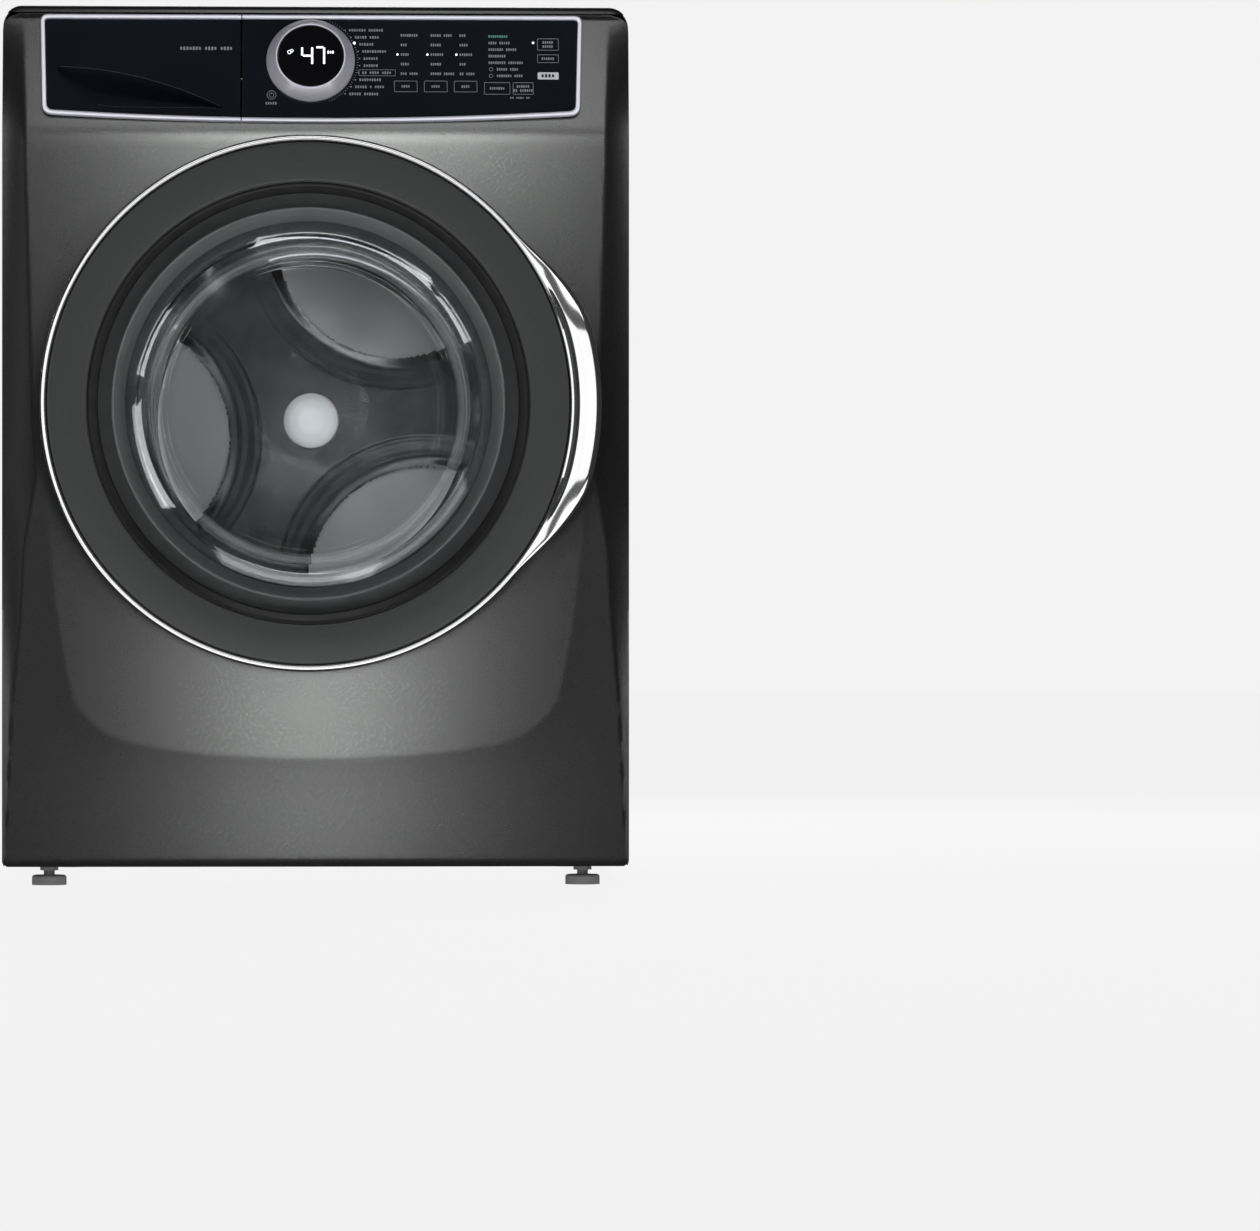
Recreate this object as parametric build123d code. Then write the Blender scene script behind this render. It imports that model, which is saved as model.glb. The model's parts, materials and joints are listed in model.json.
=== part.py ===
from build123d import *
import os
from math import acos, atan2, cos, degrees, hypot, radians, sin, tan

# A full-size front-loading washing machine. Millimetres, +Z up, the door faces -Y.
# The origin is on the floor, under the middle of the machine.

# Cabinet
HALF_WIDTH = 343
REAR = 372
HEIGHT = 965
SHEET = 1.2
CABINET_BOTTOM = 22
SIDE_FRONT = -300
SIDE_TOP = 940.5
SHOULDER_RADIUS = 22
SCREW_X, SCREW_HEIGHTS = 336.5, (90, 255, 420, 585, 750, 915)
COVER_RADIUS, COVER_SCREW_RADIUS = 168, 158

# Front panel: a flat plateau with a facet down each side, leaning back at the top
PLATEAU = -352
PLATEAU_HALF = 300
FACET_EDGE = -326
LEAN_START = 824
LEAN = 18
PANEL_TOP = 957

# Round parts share one axis, parallel to Y
AXIS_X, AXIS_Z = -8, 527
DISH_RADIUS, DISH_DEPTH = 262, 30
MOUTH_RADIUS = 196

# Door
TRIM_OUTER, TRIM_INNER = 292, 284.5
TRIM_FRONT = -396.3
HANDLE_RADIUS, HANDLE_FRONT = 319, -406
HANDLE_ANGLE, BLEND_ANGLE = 17, 37
HINGE_X, HINGE_Y, PIN_RADIUS = -293, -366, 3

# Console, measured along the leaning face
CONSOLE_LEFT, CONSOLE_RIGHT, CONSOLE_TAPER = -302, 292, 3.5
CONSOLE_TOP_Z, CONSOLE_SIDE_Z, CONSOLE_MIDDLE_Z = 955, 843, 834
TRIM_WIDTH = 5
FASCIA_FRONT, FASCIA_BACK = 2, -5
DRAWER_SPLIT = -81.5
DIAL_X, DIAL_Z = -6, 903
DIAL_RADIUS, WINDOW_RADIUS, STEM_RADIUS = 48.5, 36.1, 29.93
BUTTON_FRONT, BUTTON_BACK, BUTTON_GAP = 2.5, -4, 0.35

# name: (middle x, middle z, width, height)
BUTTONS = {
    "temperature_button": (98, 875, 26, 13),
    "soil_button": (130.8, 875, 26, 13),
    "spin_button": (163.5, 875, 26, 13),
    "options_button": (198, 873, 29, 14),
    "select_button": (226.5, 873, 23, 14),
    "start_pause_button": (254, 922.7, 24, 13.8),
    "cancel_button": (254, 906.7, 24, 9.8),
    "quick_dose_button": (254, 887.3, 24, 9.4),
}
POWER_X, POWER_Z, POWER_RADIUS = -48.7, 864.6, 6

# Tub, drum and drive
TUB_OUTER, TUB_INNER = 308, 300
TUB_FRONT, TUB_SPLIT, TUB_BACK = -245, -20, 265
DRUM_OUTER, DRUM_INNER = 280, 278.5
DRUM_BACK = 240
DRUM_MOUTH = 190
STAMP_ANGLE = 5
POCKET_RADIUS, POCKET_CENTRE = 176, 235
SHAFT_RADIUS = 15
MOTOR_X, MOTOR_Z, MOTOR_RADIUS = 110, 160, 55
PULLEY_RADIUS, MOTOR_PULLEY_RADIUS = 150, 12
BELT_GAP, BELT_THICK = 0.3, 3
SPRING_REACH, DAMPER_REACH = 215, 150
SPRING_Y = 15
DAMPER_YS = (-100, 120)
LEG_X, LEG_YS, LEG_RADIUS = 294, (-265, 330), 19

# Water
VALVE_XS, VALVE_Z = (-250, -190), 902
SPIGOT_RADIUS, SPIGOT_END, HOSE_SLEEVE = 13.2, 406, 1.5
DRAIN_X, DRAIN_Z, DRAIN_RADIUS = 300, 110, 11
CORD_X, CORD_Z = -280, 120

os.makedirs("parts", exist_ok=True)

FACE_DOWN = Plane(
    origin=(0, PLATEAU, LEAN_START),
    x_dir=(1, 0, 0),
    z_dir=(0, -cos(radians(LEAN)), sin(radians(LEAN))),
)


def save(node, *solids):
    shape = solids[0] if len(solids) == 1 else Compound(children=list(solids))
    export_step(shape, f"parts/{node}.step")


def block(x, y, z):
    size = [pair[1] - pair[0] for pair in (x, y, z)]
    middle = [(pair[0] + pair[1]) / 2 for pair in (x, y, z)]
    return Pos(*middle) * Box(*size)


def rod(x, z, radius, front, back):
    """A cylinder along Y."""
    return Pos(x, (front + back) / 2, z) * Rot(90, 0, 0) * Cylinder(radius, back - front)


def post(x, y, radius, bottom, top):
    """A cylinder along Z."""
    return Pos(x, y, (bottom + top) / 2) * Cylinder(radius, top - bottom)


def turned(*points):
    """A (radius, y) outline turned about the drum's axis."""
    return Pos(AXIS_X, 0, AXIS_Z) * revolve(Polygon(*points, align=None), Axis.Y)


def about_axis(shape, angle):
    """Turns a shape about the drum's axis, anticlockwise as seen from the front."""
    return Pos(AXIS_X, 0, AXIS_Z) * Rot(0, -angle, 0) * Pos(-AXIS_X, 0, -AXIS_Z) * shape


def from_front(sketch, front, back):
    """A sketch whose x and y are the machine's X and Z, made solid from front to back."""
    flat = Plane(origin=(0, back, 0), x_dir=(1, 0, 0), z_dir=(0, -1, 0))
    return extrude(flat * sketch, amount=back - front, dir=(0, -1, 0))


def on_face(sketch, back, front):
    """A sketch on the console's leaning face, made solid between two heights above it."""
    return FACE_DOWN * Pos(0, 0, back) * extrude(sketch, amount=front - back, dir=(0, 0, 1))


def up_face(z):
    """Distance up the leaning face to a height above the floor."""
    return (z - LEAN_START) / cos(radians(LEAN))


def polar(radius, angle):
    return (AXIS_X + radius * cos(radians(angle)), AXIS_Z + radius * sin(radians(angle)))


def tube(path, outer, inner):
    start = Plane(origin=path @ 0, z_dir=path % 0)
    return sweep(start * (Circle(outer) - Circle(inner)), path=path)


# ---------------------------------------------------------------- cabinet


def base_pan():
    width, front, back, floor = 341.4, -298, 368.9, CABINET_BOTTOM + 1
    pan = block((-width, width), (front, back), (floor, floor + 40))
    pan -= block(
        (-width + 1.5, width - 1.5), (front + 1.5, back - 1.5), (floor + 1.5, floor + 41)
    )
    for x in (-LEG_X, LEG_X):
        for y in LEG_YS:
            pan -= post(x, y, 6.3, floor - 1, floor + 3)
    return pan


def levelling_legs():
    legs = []
    for x in (-LEG_X, LEG_X):
        for y in LEG_YS:
            pad = post(x, y, LEG_RADIUS, 0, 11)
            pad = fillet(pad.edges().sort_by(Axis.Z)[-1], 3)
            nut = Pos(x, y, 16) * extrude(RegularPolygon(10, 6), amount=6)
            legs.append(pad + post(x, y, 6, 10, 58) + nut)
    return legs


def side_panel(side):
    outer = HALF_WIDTH
    skin = block((outer - SHEET, outer), (SIDE_FRONT + 0.3, 370.5), (CABINET_BOTTOM, SIDE_TOP))
    fold = block((outer - 12, outer), (370.5 - SHEET, 370.5), (CABINET_BOTTOM, SIDE_TOP))
    panel = skin + fold
    for z in SCREW_HEIGHTS:
        panel -= rod(SCREW_X, z, 2.4, 365, 375)
    return panel if side > 0 else mirror(panel, Plane.YZ)


def cover_screw_places():
    return [polar(COVER_SCREW_RADIUS, 60 * k + 30) for k in range(6)]


def rear_panel():
    edge = HALF_WIDTH - 0.4
    panel = block((-edge, edge), (REAR - SHEET, REAR), (CABINET_BOTTOM + 2, SIDE_TOP))
    panel -= rod(AXIS_X, AXIS_Z, 148, 360, 380)
    for x in VALVE_XS:
        panel -= rod(x, VALVE_Z, SPIGOT_RADIUS + HOSE_SLEEVE, 360, 380)
    panel -= rod(DRAIN_X, DRAIN_Z, DRAIN_RADIUS + 0.8, 360, 380)
    panel -= rod(CORD_X, CORD_Z, 9.5, 360, 380)
    for side in (-1, 1):
        for z in SCREW_HEIGHTS:
            panel -= rod(side * SCREW_X, z, 2.4, 360, 380)
    for x, z in cover_screw_places():
        panel -= rod(x, z, 2.4, 360, 380)
    return panel


def rear_access_cover():
    cover = turned((0, 378.3), (140, 378.3), (147, 372.3), (COVER_RADIUS, 372.3),
                   (COVER_RADIUS, 373.5), (147.5, 373.5), (140.5, 379.5), (0, 379.5))
    for x, z in cover_screw_places():
        cover -= rod(x, z, 2.4, 360, 390)
    return cover


def screw(x, z, seat):
    head = rod(x, z, 4.5, seat + 0.2, seat + 2.8)
    head -= rod(x, z, 1.6, seat + 1.6, seat + 3)
    return head + rod(x, z, 2, seat - 8, seat + 0.5)


def cabinet_screws():
    edge = [screw(side * SCREW_X, z, REAR) for side in (-1, 1) for z in SCREW_HEIGHTS]
    return edge + [screw(x, z, 373.5) for x, z in cover_screw_places()]


def shoulder(width, bottom, top, radius):
    """The machine's front outline above a given height, with round shoulders."""
    shape = Pos(0, (bottom + top) / 2) * Rectangle(2 * width, top - bottom)
    return fillet(shape.vertices().group_by(Axis.Y)[-1], radius)


def top_panel():
    front, below = -316, PANEL_TOP + 0.5
    shell = from_front(shoulder(HALF_WIDTH, 941, HEIGHT, SHOULDER_RADIUS), front, REAR)
    bullnose = shell.edges().filter_by(Axis.X).group_by(Axis.Y)[0].sort_by(Axis.Z)[-1]
    shell = fillet(bullnose, 5)
    inner = shoulder(HALF_WIDTH - SHEET, 900, HEIGHT - SHEET, SHOULDER_RADIUS - SHEET)
    shell -= from_front(inner, front + SHEET, REAR - SHEET)
    return shell - block((-400, 400), (-400, SIDE_FRONT + 0.3), (900, below))


def front_outer(inset):
    """The front panel's outer form, or its hollow when inset by the sheet."""
    bottom, top, back = CABINET_BOTTOM + inset, PANEL_TOP - inset, SIDE_FRONT + inset
    lean_y = PLATEAU + inset + (PANEL_TOP - LEAN_START) * tan(radians(LEAN))
    side_view = Polygon(
        (back, bottom), (PLATEAU + 5 + inset, bottom), (PLATEAU + inset, bottom + 5),
        (PLATEAU + inset, LEAN_START), (lean_y, top), (back, top), align=None,
    )
    edge, plateau = HALF_WIDTH - inset, PLATEAU_HALF - inset / 3
    plan = Polygon(
        (-edge, back), (-edge, FACET_EDGE + inset / 2), (-plateau, PLATEAU + inset),
        (plateau, PLATEAU + inset), (edge, FACET_EDGE + inset / 2), (edge, back), align=None,
    )
    slab = extrude(Plane.YZ * side_view, amount=400, both=True)
    slab &= extrude(plan, amount=1000)
    form = from_front(shoulder(edge, 0, top, SHOULDER_RADIUS - inset - 3), -450, -250)
    return slab & form


def front_panel():
    sheet = front_outer(0) - front_outer(SHEET)
    sheet -= rod(AXIS_X, AXIS_Z, DISH_RADIUS, -360, PLATEAU + 4)
    floor = PLATEAU + DISH_DEPTH
    sheet += turned((MOUTH_RADIUS, floor), (DISH_RADIUS, floor), (DISH_RADIUS, PLATEAU),
                    (DISH_RADIUS + SHEET, PLATEAU), (DISH_RADIUS + SHEET, floor + SHEET),
                    (MOUTH_RADIUS, floor + SHEET))
    sheet -= block((222, 243), (floor - 5, floor + 5), (511, 543))
    return sheet - on_face(console_outline(2.5), -6, 6)


def upper_cross_rail():
    rail = block((-341.3, 341.3), (SPRING_Y - 18, SPRING_Y + 18), (938, 955))
    rail &= from_front(shoulder(341.3, 900, 962, 20), -100, 100)
    return rail - block((-400, 400), (SPRING_Y - 16.5, SPRING_Y + 16.5), (939.5, 960))


# ---------------------------------------------------------------- console


def console_outline(inset):
    """The console's rounded outline with its bowed lower edge."""
    left, right = CONSOLE_LEFT, CONSOLE_RIGHT
    top, side, middle = (up_face(z) for z in (CONSOLE_TOP_Z, CONSOLE_SIDE_Z, CONSOLE_MIDDLE_Z))
    lower_left, lower_right = (left + CONSOLE_TAPER, side), (right - CONSOLE_TAPER, side)
    shape = make_face([
        *Polyline(lower_right, (right, top), (left, top), lower_left).edges(),
        ThreePointArc(lower_left, ((left + right) / 2, middle), lower_right),
    ])
    upper = [v for v in shape.vertices() if v.Y > (top + side) / 2]
    shape = fillet(upper, 9)
    lower = [v for v in shape.vertices() if v.Y < side + 1]
    shape = fillet(lower, 13)
    return offset(shape, amount=-inset) if inset else shape


def side_of_split(drawer_side):
    edge = DRAWER_SPLIT - 0.6 if drawer_side else DRAWER_SPLIT + 0.6
    low, high = (-400, edge) if drawer_side else (edge, 400)
    return Pos((low + high) / 2, 60) * Rectangle(high - low, 400)


def trim_frame(drawer_side):
    frame = console_outline(0) - console_outline(TRIM_WIDTH)
    return on_face(frame & side_of_split(drawer_side), 0.3, 4)


def console_slab(drawer_side):
    sketch = console_outline(TRIM_WIDTH + 0.3) & side_of_split(drawer_side)
    return on_face(sketch, FASCIA_BACK, FASCIA_FRONT)


def button(name, gap=0):
    x, z, width, height = BUTTONS[name]
    shape = RectangleRounded(width + 2 * gap, height / cos(radians(LEAN)) + 2 * gap, 1.5)
    low, high = (-10, 10) if gap else (BUTTON_BACK, BUTTON_FRONT)
    return on_face(Pos(x, up_face(z)) * shape, low, high)


def power_button(gap=0):
    shape = Pos(POWER_X, up_face(POWER_Z)) * Circle(POWER_RADIUS + gap)
    low, high = (-10, 10) if gap else (BUTTON_BACK, BUTTON_FRONT)
    return on_face(shape, low, high)


def console_fascia():
    fascia = console_slab(False)
    fascia -= on_face(Pos(DIAL_X, up_face(DIAL_Z)) * Circle(STEM_RADIUS + 0.4), -10, 10)
    for name in BUTTONS:
        fascia -= button(name, BUTTON_GAP)
    return fascia - power_button(BUTTON_GAP)


def on_dial(*points):
    """A (radius, height) outline turned about the dial's axis."""
    shape = revolve(Plane.XZ * Polygon(*points, align=None), Axis.Z)
    return FACE_DOWN * Pos(DIAL_X, up_face(DIAL_Z), 0) * shape


def dial_ring():
    return on_dial((30, 2.5), (DIAL_RADIUS, 2.5), (DIAL_RADIUS, 5), (46.5, 7.5),
                   (38.5, 18), (36.4, 18), (36.4, 13.7), (30, 13.7))


def display_window():
    return on_dial((0, -8), (STEM_RADIUS, -8), (STEM_RADIUS, 14), (WINDOW_RADIUS, 14),
                   (WINDOW_RADIUS, 17.3), (0, 17.3))


# ---------------------------------------------------------------- dispenser


def scoop(growth):
    """The finger recess in the drawer front, seen from the front."""
    shape = make_face([
        ThreePointArc((-284, 896), (-190, 888), (-100, 850)),
        Line((-100, 850), (-212, 851)),
        ThreePointArc((-212, 851), (-262, 864), (-284, 896)),
    ])
    return offset(shape, amount=growth) if growth else shape


def behind_face(height):
    """Everything more than a given depth behind the leaning face."""
    return on_face(Pos(0, 60) * Rectangle(900, 900), height - 300, height)


def drawer_front():
    cup = from_front(scoop(2), -350, -309) & behind_face(0)
    return console_slab(True) + cup - from_front(scoop(0), -400, -311)


def drawer_tray():
    tray = block((-291, -94.5), (-345, -60), (858, 922)) & behind_face(FASCIA_BACK - 0.3)
    tray -= block((-287.5, -98), (-350, -304), (850, 930))
    for x in ((-288, -201), (-198, -140), (-137, -97.5)):
        tray -= block(x, (-301, -63), (861, 930))
    return tray


def siphon_cover():
    lid = block((-197.6, -140.4), (-200, -64), (912, 915))
    return lid + post(-169, -100, 9, 864, 913) - post(-169, -100, 6, 860, 909)


def dispenser_housing():
    housing = block((-295, -90.5), (-306, -50), (853, 937))
    housing -= block((-293, -92.5), (-310, -52), (855, 935))
    for x in VALVE_XS:
        housing += rod(x, VALVE_Z, 5, -50.5, -38)
        housing -= rod(x, VALVE_Z, 3, -55, -30)
    outlet = post(-105, -120, 20, 846, 853.5) - post(-105, -120, 17, 840, 860)
    return housing + outlet


def inlet_valves():
    body = block((-272, -168), (336, 370.3), (882, 920))
    for x in VALVE_XS:
        body += rod(x, VALVE_Z, SPIGOT_RADIUS, 370, SPIGOT_END) + rod(x, VALVE_Z, 5, 318, 337)
        body -= rod(x, VALVE_Z, 9.5, SPIGOT_END - 24, SPIGOT_END + 5)
    return body


def inlet_hoses():
    return [rod(x, VALVE_Z, 8, -48, 334) - rod(x, VALVE_Z, 5.3, -50, 340) for x in VALVE_XS]


# ---------------------------------------------------------------- door


def handle_outline(inset):
    """The crescent that swells out of the trim ring on the free side."""
    root, crest, inner = TRIM_OUTER - 1, HANDLE_RADIUS - inset, 287 + inset
    angle = BLEND_ANGLE - inset / 3
    high, low = polar(crest, HANDLE_ANGLE), polar(crest, -HANDLE_ANGLE)
    shape = make_face([
        Line(polar(root, angle), high),
        ThreePointArc(high, polar(crest, 0), low),
        Line(low, polar(root, -angle)),
        Line(polar(root, -angle), polar(inner, -angle)),
        ThreePointArc(polar(inner, -angle), polar(inner, 0), polar(inner, angle)),
        Line(polar(inner, angle), polar(root, angle)),
    ])
    corners = [v for v in shape.vertices() if hypot(v.X - AXIS_X, v.Y - AXIS_Z) > 300]
    return fillet(corners, 60)


def door_trim_ring():
    ring = turned((TRIM_INNER, -394), (286, TRIM_FRONT), (290.5, TRIM_FRONT),
                  (TRIM_OUTER, -394), (TRIM_OUTER, -384), (TRIM_INNER, -384))
    for inset, front, back in ((0, -403, -389), (1.2, -405, -402), (3, HANDLE_FRONT, -404)):
        ring += from_front(handle_outline(inset), front, back)
    return ring


def door_outer_ring():
    ring = turned(
        (240.2, -386), (250, -390), (268, -393), (284.2, -392), (284.2, -383.7), (291.5, -383.7),
        (291.5, -372), (284, -354.3), (281, -354.3), (288.3, -371.5), (288.3, -380.7),
        (281, -380.7), (281, -389), (268, -390), (251, -387), (243.2, -384),
        (243.2, -374), (240.2, -374),
    )
    return ring - block((-320, -265), (-380.5, -340), (483, 571))


def door_bezel():
    return turned((239.8, -385.5), (228.6, -380), (228.6, -376), (239.8, -376))


def glass_bowl():
    return turned(
        (228, -373), (209, -373), (204, -366), (186.5, -330), (182.5, -316.5), (177.5, -313),
        (170, -246), (163, -226),
        (146, -215.5), (90, -211.5), (0, -210), (0, -215), (90, -216.5), (142, -220.5),
        (157, -230), (164.5, -248), (171.5, -317), (178.5, -322.5), (181.5, -331),
        (199, -369), (204, -378.5), (228, -378.5),
    )


def door_inner_frame():
    return turned(
        (211.5, -372.3), (214.5, -372.3), (204.5, -341), (206.5, -337.2), (241.5, -339),
        (252, -351), (252, -372.3), (255, -372.3), (255, -350), (243, -336), (205, -334),
        (200, -341),
    )


def hinge_arm():
    arm = block((HINGE_X, -252.5), (-375.6, -372.6), (488, 566))
    arm -= block((HINGE_X - 10, -280), (-380, -360), (507.7, 546.3))
    for low, high in ((488, 507.7), (546.3, 566)):
        arm += post(HINGE_X, HINGE_Y, 6.2, low, high)
        arm += block((HINGE_X - 4, HINGE_X + 6), (-375.6, HINGE_Y), (low, high))
    return arm - post(HINGE_X, HINGE_Y, PIN_RADIUS + 0.05, 480, 580)


def hinge_bracket():
    bracket = block((-296, -275), (-355.3, -352.3), (490, 564))
    bracket += block((-296, -287), (HINGE_Y, -355), (508.3, 545.7))
    bracket += post(HINGE_X, HINGE_Y, 6.2, 508.3, 545.7)
    return bracket + post(HINGE_X, HINGE_Y, PIN_RADIUS, 486, 568)


def door_strike():
    hook = block((228, 236), (-335.2, -307), (517, 537))
    return hook - block((220, 240), (-322, -314), (522, 532))


def door_lock():
    lock = block((212, 250), (-320.4, -288), (488, 566))
    return lock - block((221, 244), (-325, -300), (510, 544))


def door_gasket():
    middle = Polyline((204, -323.8), (190, -323.8), (188.7, -316), (205, -302),
                      (195, -288), (213, -273), (213, -247))
    profile = trace(middle, line_width=3)
    return Pos(AXIS_X, 0, AXIS_Z) * revolve(profile, Axis.Y)


# ---------------------------------------------------------------- tub


def tub_lug(reach, y, low, high):
    middle = AXIS_X + reach
    return block((middle - 12, middle + 12), (y - 12, y + 12), (low, high))


def tub_front():
    tub = turned(
        (217, -262), (222, -262), (222, TUB_FRONT), (TUB_OUTER, TUB_FRONT),
        (TUB_OUTER, -28), (316, -28), (316, TUB_SPLIT), (TUB_INNER, TUB_SPLIT),
        (TUB_INNER, TUB_FRONT + 5), (217, TUB_FRONT + 5),
    )
    for side in (-1, 1):
        tub += tub_lug(side * DAMPER_REACH, DAMPER_YS[0], 232, 258)
    tub += post(AXIS_X, -60, 18, 198, 223)
    return tub - post(AXIS_X, -60, 15, 190, 240)


def tub_rear():
    tub = turned(
        (TUB_INNER, TUB_SPLIT + 0.3), (316, TUB_SPLIT + 0.3), (316, -12), (TUB_OUTER, -12),
        (TUB_OUTER, TUB_BACK), (44, TUB_BACK), (44, 312), (26, 312), (26, 294), (18, 294),
        (18, 278), (31, 278), (31, 259), (TUB_INNER, 259),
    )
    rib = block((AXIS_X + 40, AXIS_X + 300), (TUB_BACK - 1, TUB_BACK + 20), (AXIS_Z - 2, AXIS_Z + 2))
    for k in range(12):
        tub += about_axis(rib, 30 * k + 15)
    for side in (-1, 1):
        tub += tub_lug(side * DAMPER_REACH, DAMPER_YS[1], 232, 258)
        tub += tub_lug(side * SPRING_REACH, SPRING_Y, 750, 785)
    return tub + block((80, 140), (160, 240), (215.4, 246))


def counterweights():
    ring = turned((228, -300), (285, -300), (285, -245.3), (228, -245.3))
    gap = block((AXIS_X, AXIS_X + 300), (-310, -240), (AXIS_Z - 110, AXIS_Z + 110))
    ring -= gap
    ring -= about_axis(gap, 180)
    return ring.solids()


def shaft_bearings():
    bore = SHAFT_RADIUS + 0.05
    front = turned((bore, 260), (30.9, 260), (30.9, 277.5), (bore, 277.5))
    rear = turned((bore, 294.5), (25.9, 294.5), (25.9, 311), (bore, 311))
    return [front, rear]


def drive_motor():
    motor = rod(MOTOR_X, MOTOR_Z, MOTOR_RADIUS, 165, 250)
    motor += rod(MOTOR_X, MOTOR_Z, 46, 150, 280) + rod(MOTOR_X, MOTOR_Z, 16, 279, 290)
    motor += block((85, 135), (165, 235), (195, 215.1))
    return motor - rod(MOTOR_X, MOTOR_Z, 6.06, 255, 295)


def motor_pulley():
    pulley = rod(MOTOR_X, MOTOR_Z, MOTOR_PULLEY_RADIUS, 318, 334)
    pulley += rod(MOTOR_X, MOTOR_Z, 15, 316, 318) + rod(MOTOR_X, MOTOR_Z, 15, 334, 336)
    return pulley + rod(MOTOR_X, MOTOR_Z, 6, 258, 340)


def belt_loop(growth):
    """The area inside a belt round both pulleys, standing off them by the growth."""
    big, small = PULLEY_RADIUS + growth, MOTOR_PULLEY_RADIUS + growth
    across, down = MOTOR_X - AXIS_X, MOTOR_Z - AXIS_Z
    heading = degrees(atan2(down, across))
    lean = degrees(acos((big - small) / hypot(across, down)))
    turns = [radians(heading + lean), radians(heading - lean)]
    big_ends = [(AXIS_X + big * cos(at), AXIS_Z + big * sin(at)) for at in turns]
    small_ends = [(MOTOR_X + small * cos(at), MOTOR_Z + small * sin(at)) for at in turns]
    along = radians(heading)
    far = (AXIS_X - big * cos(along), AXIS_Z - big * sin(along))
    near = (MOTOR_X + small * cos(along), MOTOR_Z + small * sin(along))
    return make_face([
        Line(big_ends[0], small_ends[0]),
        ThreePointArc(small_ends[0], near, small_ends[1]),
        Line(small_ends[1], big_ends[1]),
        ThreePointArc(big_ends[1], far, big_ends[0]),
    ])


def drive_belt():
    loop = belt_loop(BELT_GAP + BELT_THICK) - belt_loop(BELT_GAP)
    return from_front(loop, 319.5, 332.5)


def damper_rods():
    rods = []
    for side in (-1, 1):
        for y in DAMPER_YS:
            x = AXIS_X + side * DAMPER_REACH
            rods.append(post(x, y, 6, 90, 231.7) + post(x, y, 10, 218, 231.7))
    return rods


def damper_cylinders():
    cylinders = []
    for side in (-1, 1):
        for y in DAMPER_YS:
            x = AXIS_X + side * DAMPER_REACH
            barrel = post(x, y, 12, 40, 190) + post(x, y, 20, 24.8, 42)
            cylinders.append(barrel - post(x, y, 6.06, 66, 200))
    return cylinders


def tub_springs():
    springs = []
    for side in (-1, 1):
        x = AXIS_X + side * SPRING_REACH
        coil = Helix(pitch=9, height=142, radius=11, center=(x, SPRING_Y, 790.5))
        wire = Plane(origin=coil @ 0, z_dir=coil % 0) * Circle(1.6)
        ends = post(x, SPRING_Y, 13, 785.3, 791) + post(x, SPRING_Y, 13, 932, 937.7)
        springs.append(sweep(wire, path=coil, is_frenet=True) + ends)
    return springs


# ---------------------------------------------------------------- drum


def drum_shell():
    return turned(
        (DRUM_OUTER, DRUM_BACK), (DRUM_OUTER, -216), (274, -224), (197, -227),
        (DRUM_MOUTH, -220), (191.2, -219.2), (197.6, -225.4), (273.3, -222.5),
        (DRUM_INNER, -215.3), (DRUM_INNER, DRUM_BACK),
    )


def stamp_pockets(growth):
    """The three lens-shaped hollows between the arms of the drum's back."""
    pockets = []
    for k in range(3):
        x, z = polar(POCKET_CENTRE, STAMP_ANGLE + 60 + 120 * k)
        lens = Pos(x, z) * Circle(POCKET_RADIUS - growth) & Pos(AXIS_X, AXIS_Z) * Circle(228 - growth)
        pockets.append(lens)
    return pockets


def drum_rear():
    front, back, floor = 226, DRUM_BACK, 237.5
    disc = rod(AXIS_X, AXIS_Z, DRUM_INNER - 0.3, front, back)
    hollow = rod(AXIS_X, AXIS_Z, DRUM_INNER - 2, front + 1.5, back + 1)
    for outer in stamp_pockets(-1.5):
        hollow -= from_front(outer, front - 1, back + 2)
    for inner in stamp_pockets(0):
        disc -= from_front(inner, front - 1, floor)
    return disc - hollow


def drum_lifters():
    base, crest = 276, 192
    outer = Polygon((base, -34), (crest, -12), (crest, 12), (base, 34), align=None)
    inner = Polygon((base + 1, -30), (crest + 3, -9.5), (crest + 3, 9.5), (base + 1, 30), align=None)
    bar = from_front(outer, -195, 222) - from_front(inner, -192, 219)
    bar = Pos(AXIS_X, 0, AXIS_Z) * bar
    return [about_axis(bar, STAMP_ANGLE + 120 * k) for k in range(3)]


def drum_spider():
    arm = from_front(Polygon((0, -26), (262, -14), (262, 14), (0, 26), align=None), 240.4, 256)
    spider = turned((0, 240.4), (40, 240.4), (40, 257.4), (SHAFT_RADIUS, 257.4),
                    (SHAFT_RADIUS, 340), (0, 340))
    for k in range(3):
        spider += about_axis(Pos(AXIS_X, 0, AXIS_Z) * arm, STAMP_ANGLE + 120 * k)
    return spider


def drum_pulley():
    bore = SHAFT_RADIUS + 0.1
    pulley = turned((bore, 316), (28, 316), (28, 323), (142, 323), (142, 318), (PULLEY_RADIUS, 318),
                    (PULLEY_RADIUS, 334), (142, 334), (142, 329), (28, 329), (28, 336), (bore, 336))
    for k in range(6):
        x, z = polar(86, 60 * k)
        pulley -= rod(x, z, 34, 310, 340)
    return pulley


def hub_cap():
    return turned((0, 214), (12, 214.5), (22, 217), (31, 221), (33, 225.7), (0, 225.7))


# ---------------------------------------------------------------- drain


def drain_pump():
    pump = rod(200, 90, 40, -285, -200) + rod(200, 90, 31, -201, -150)
    pump += block((175, 225), (-280, -205), (24.8, 60))
    pump += Pos(145, -240, 90) * Rot(0, 90, 0) * Cylinder(18, 40)
    return pump + Pos(243, -240, DRAIN_Z) * Rot(0, 90, 0) * Cylinder(8.5, 26)


def sump_hose():
    path = Spline((AXIS_X, -60, 214), (142, -240, 90), tangents=((0, 0, -1.6), (1.6, 0, 0)))
    return tube(path, 22, 19)


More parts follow.
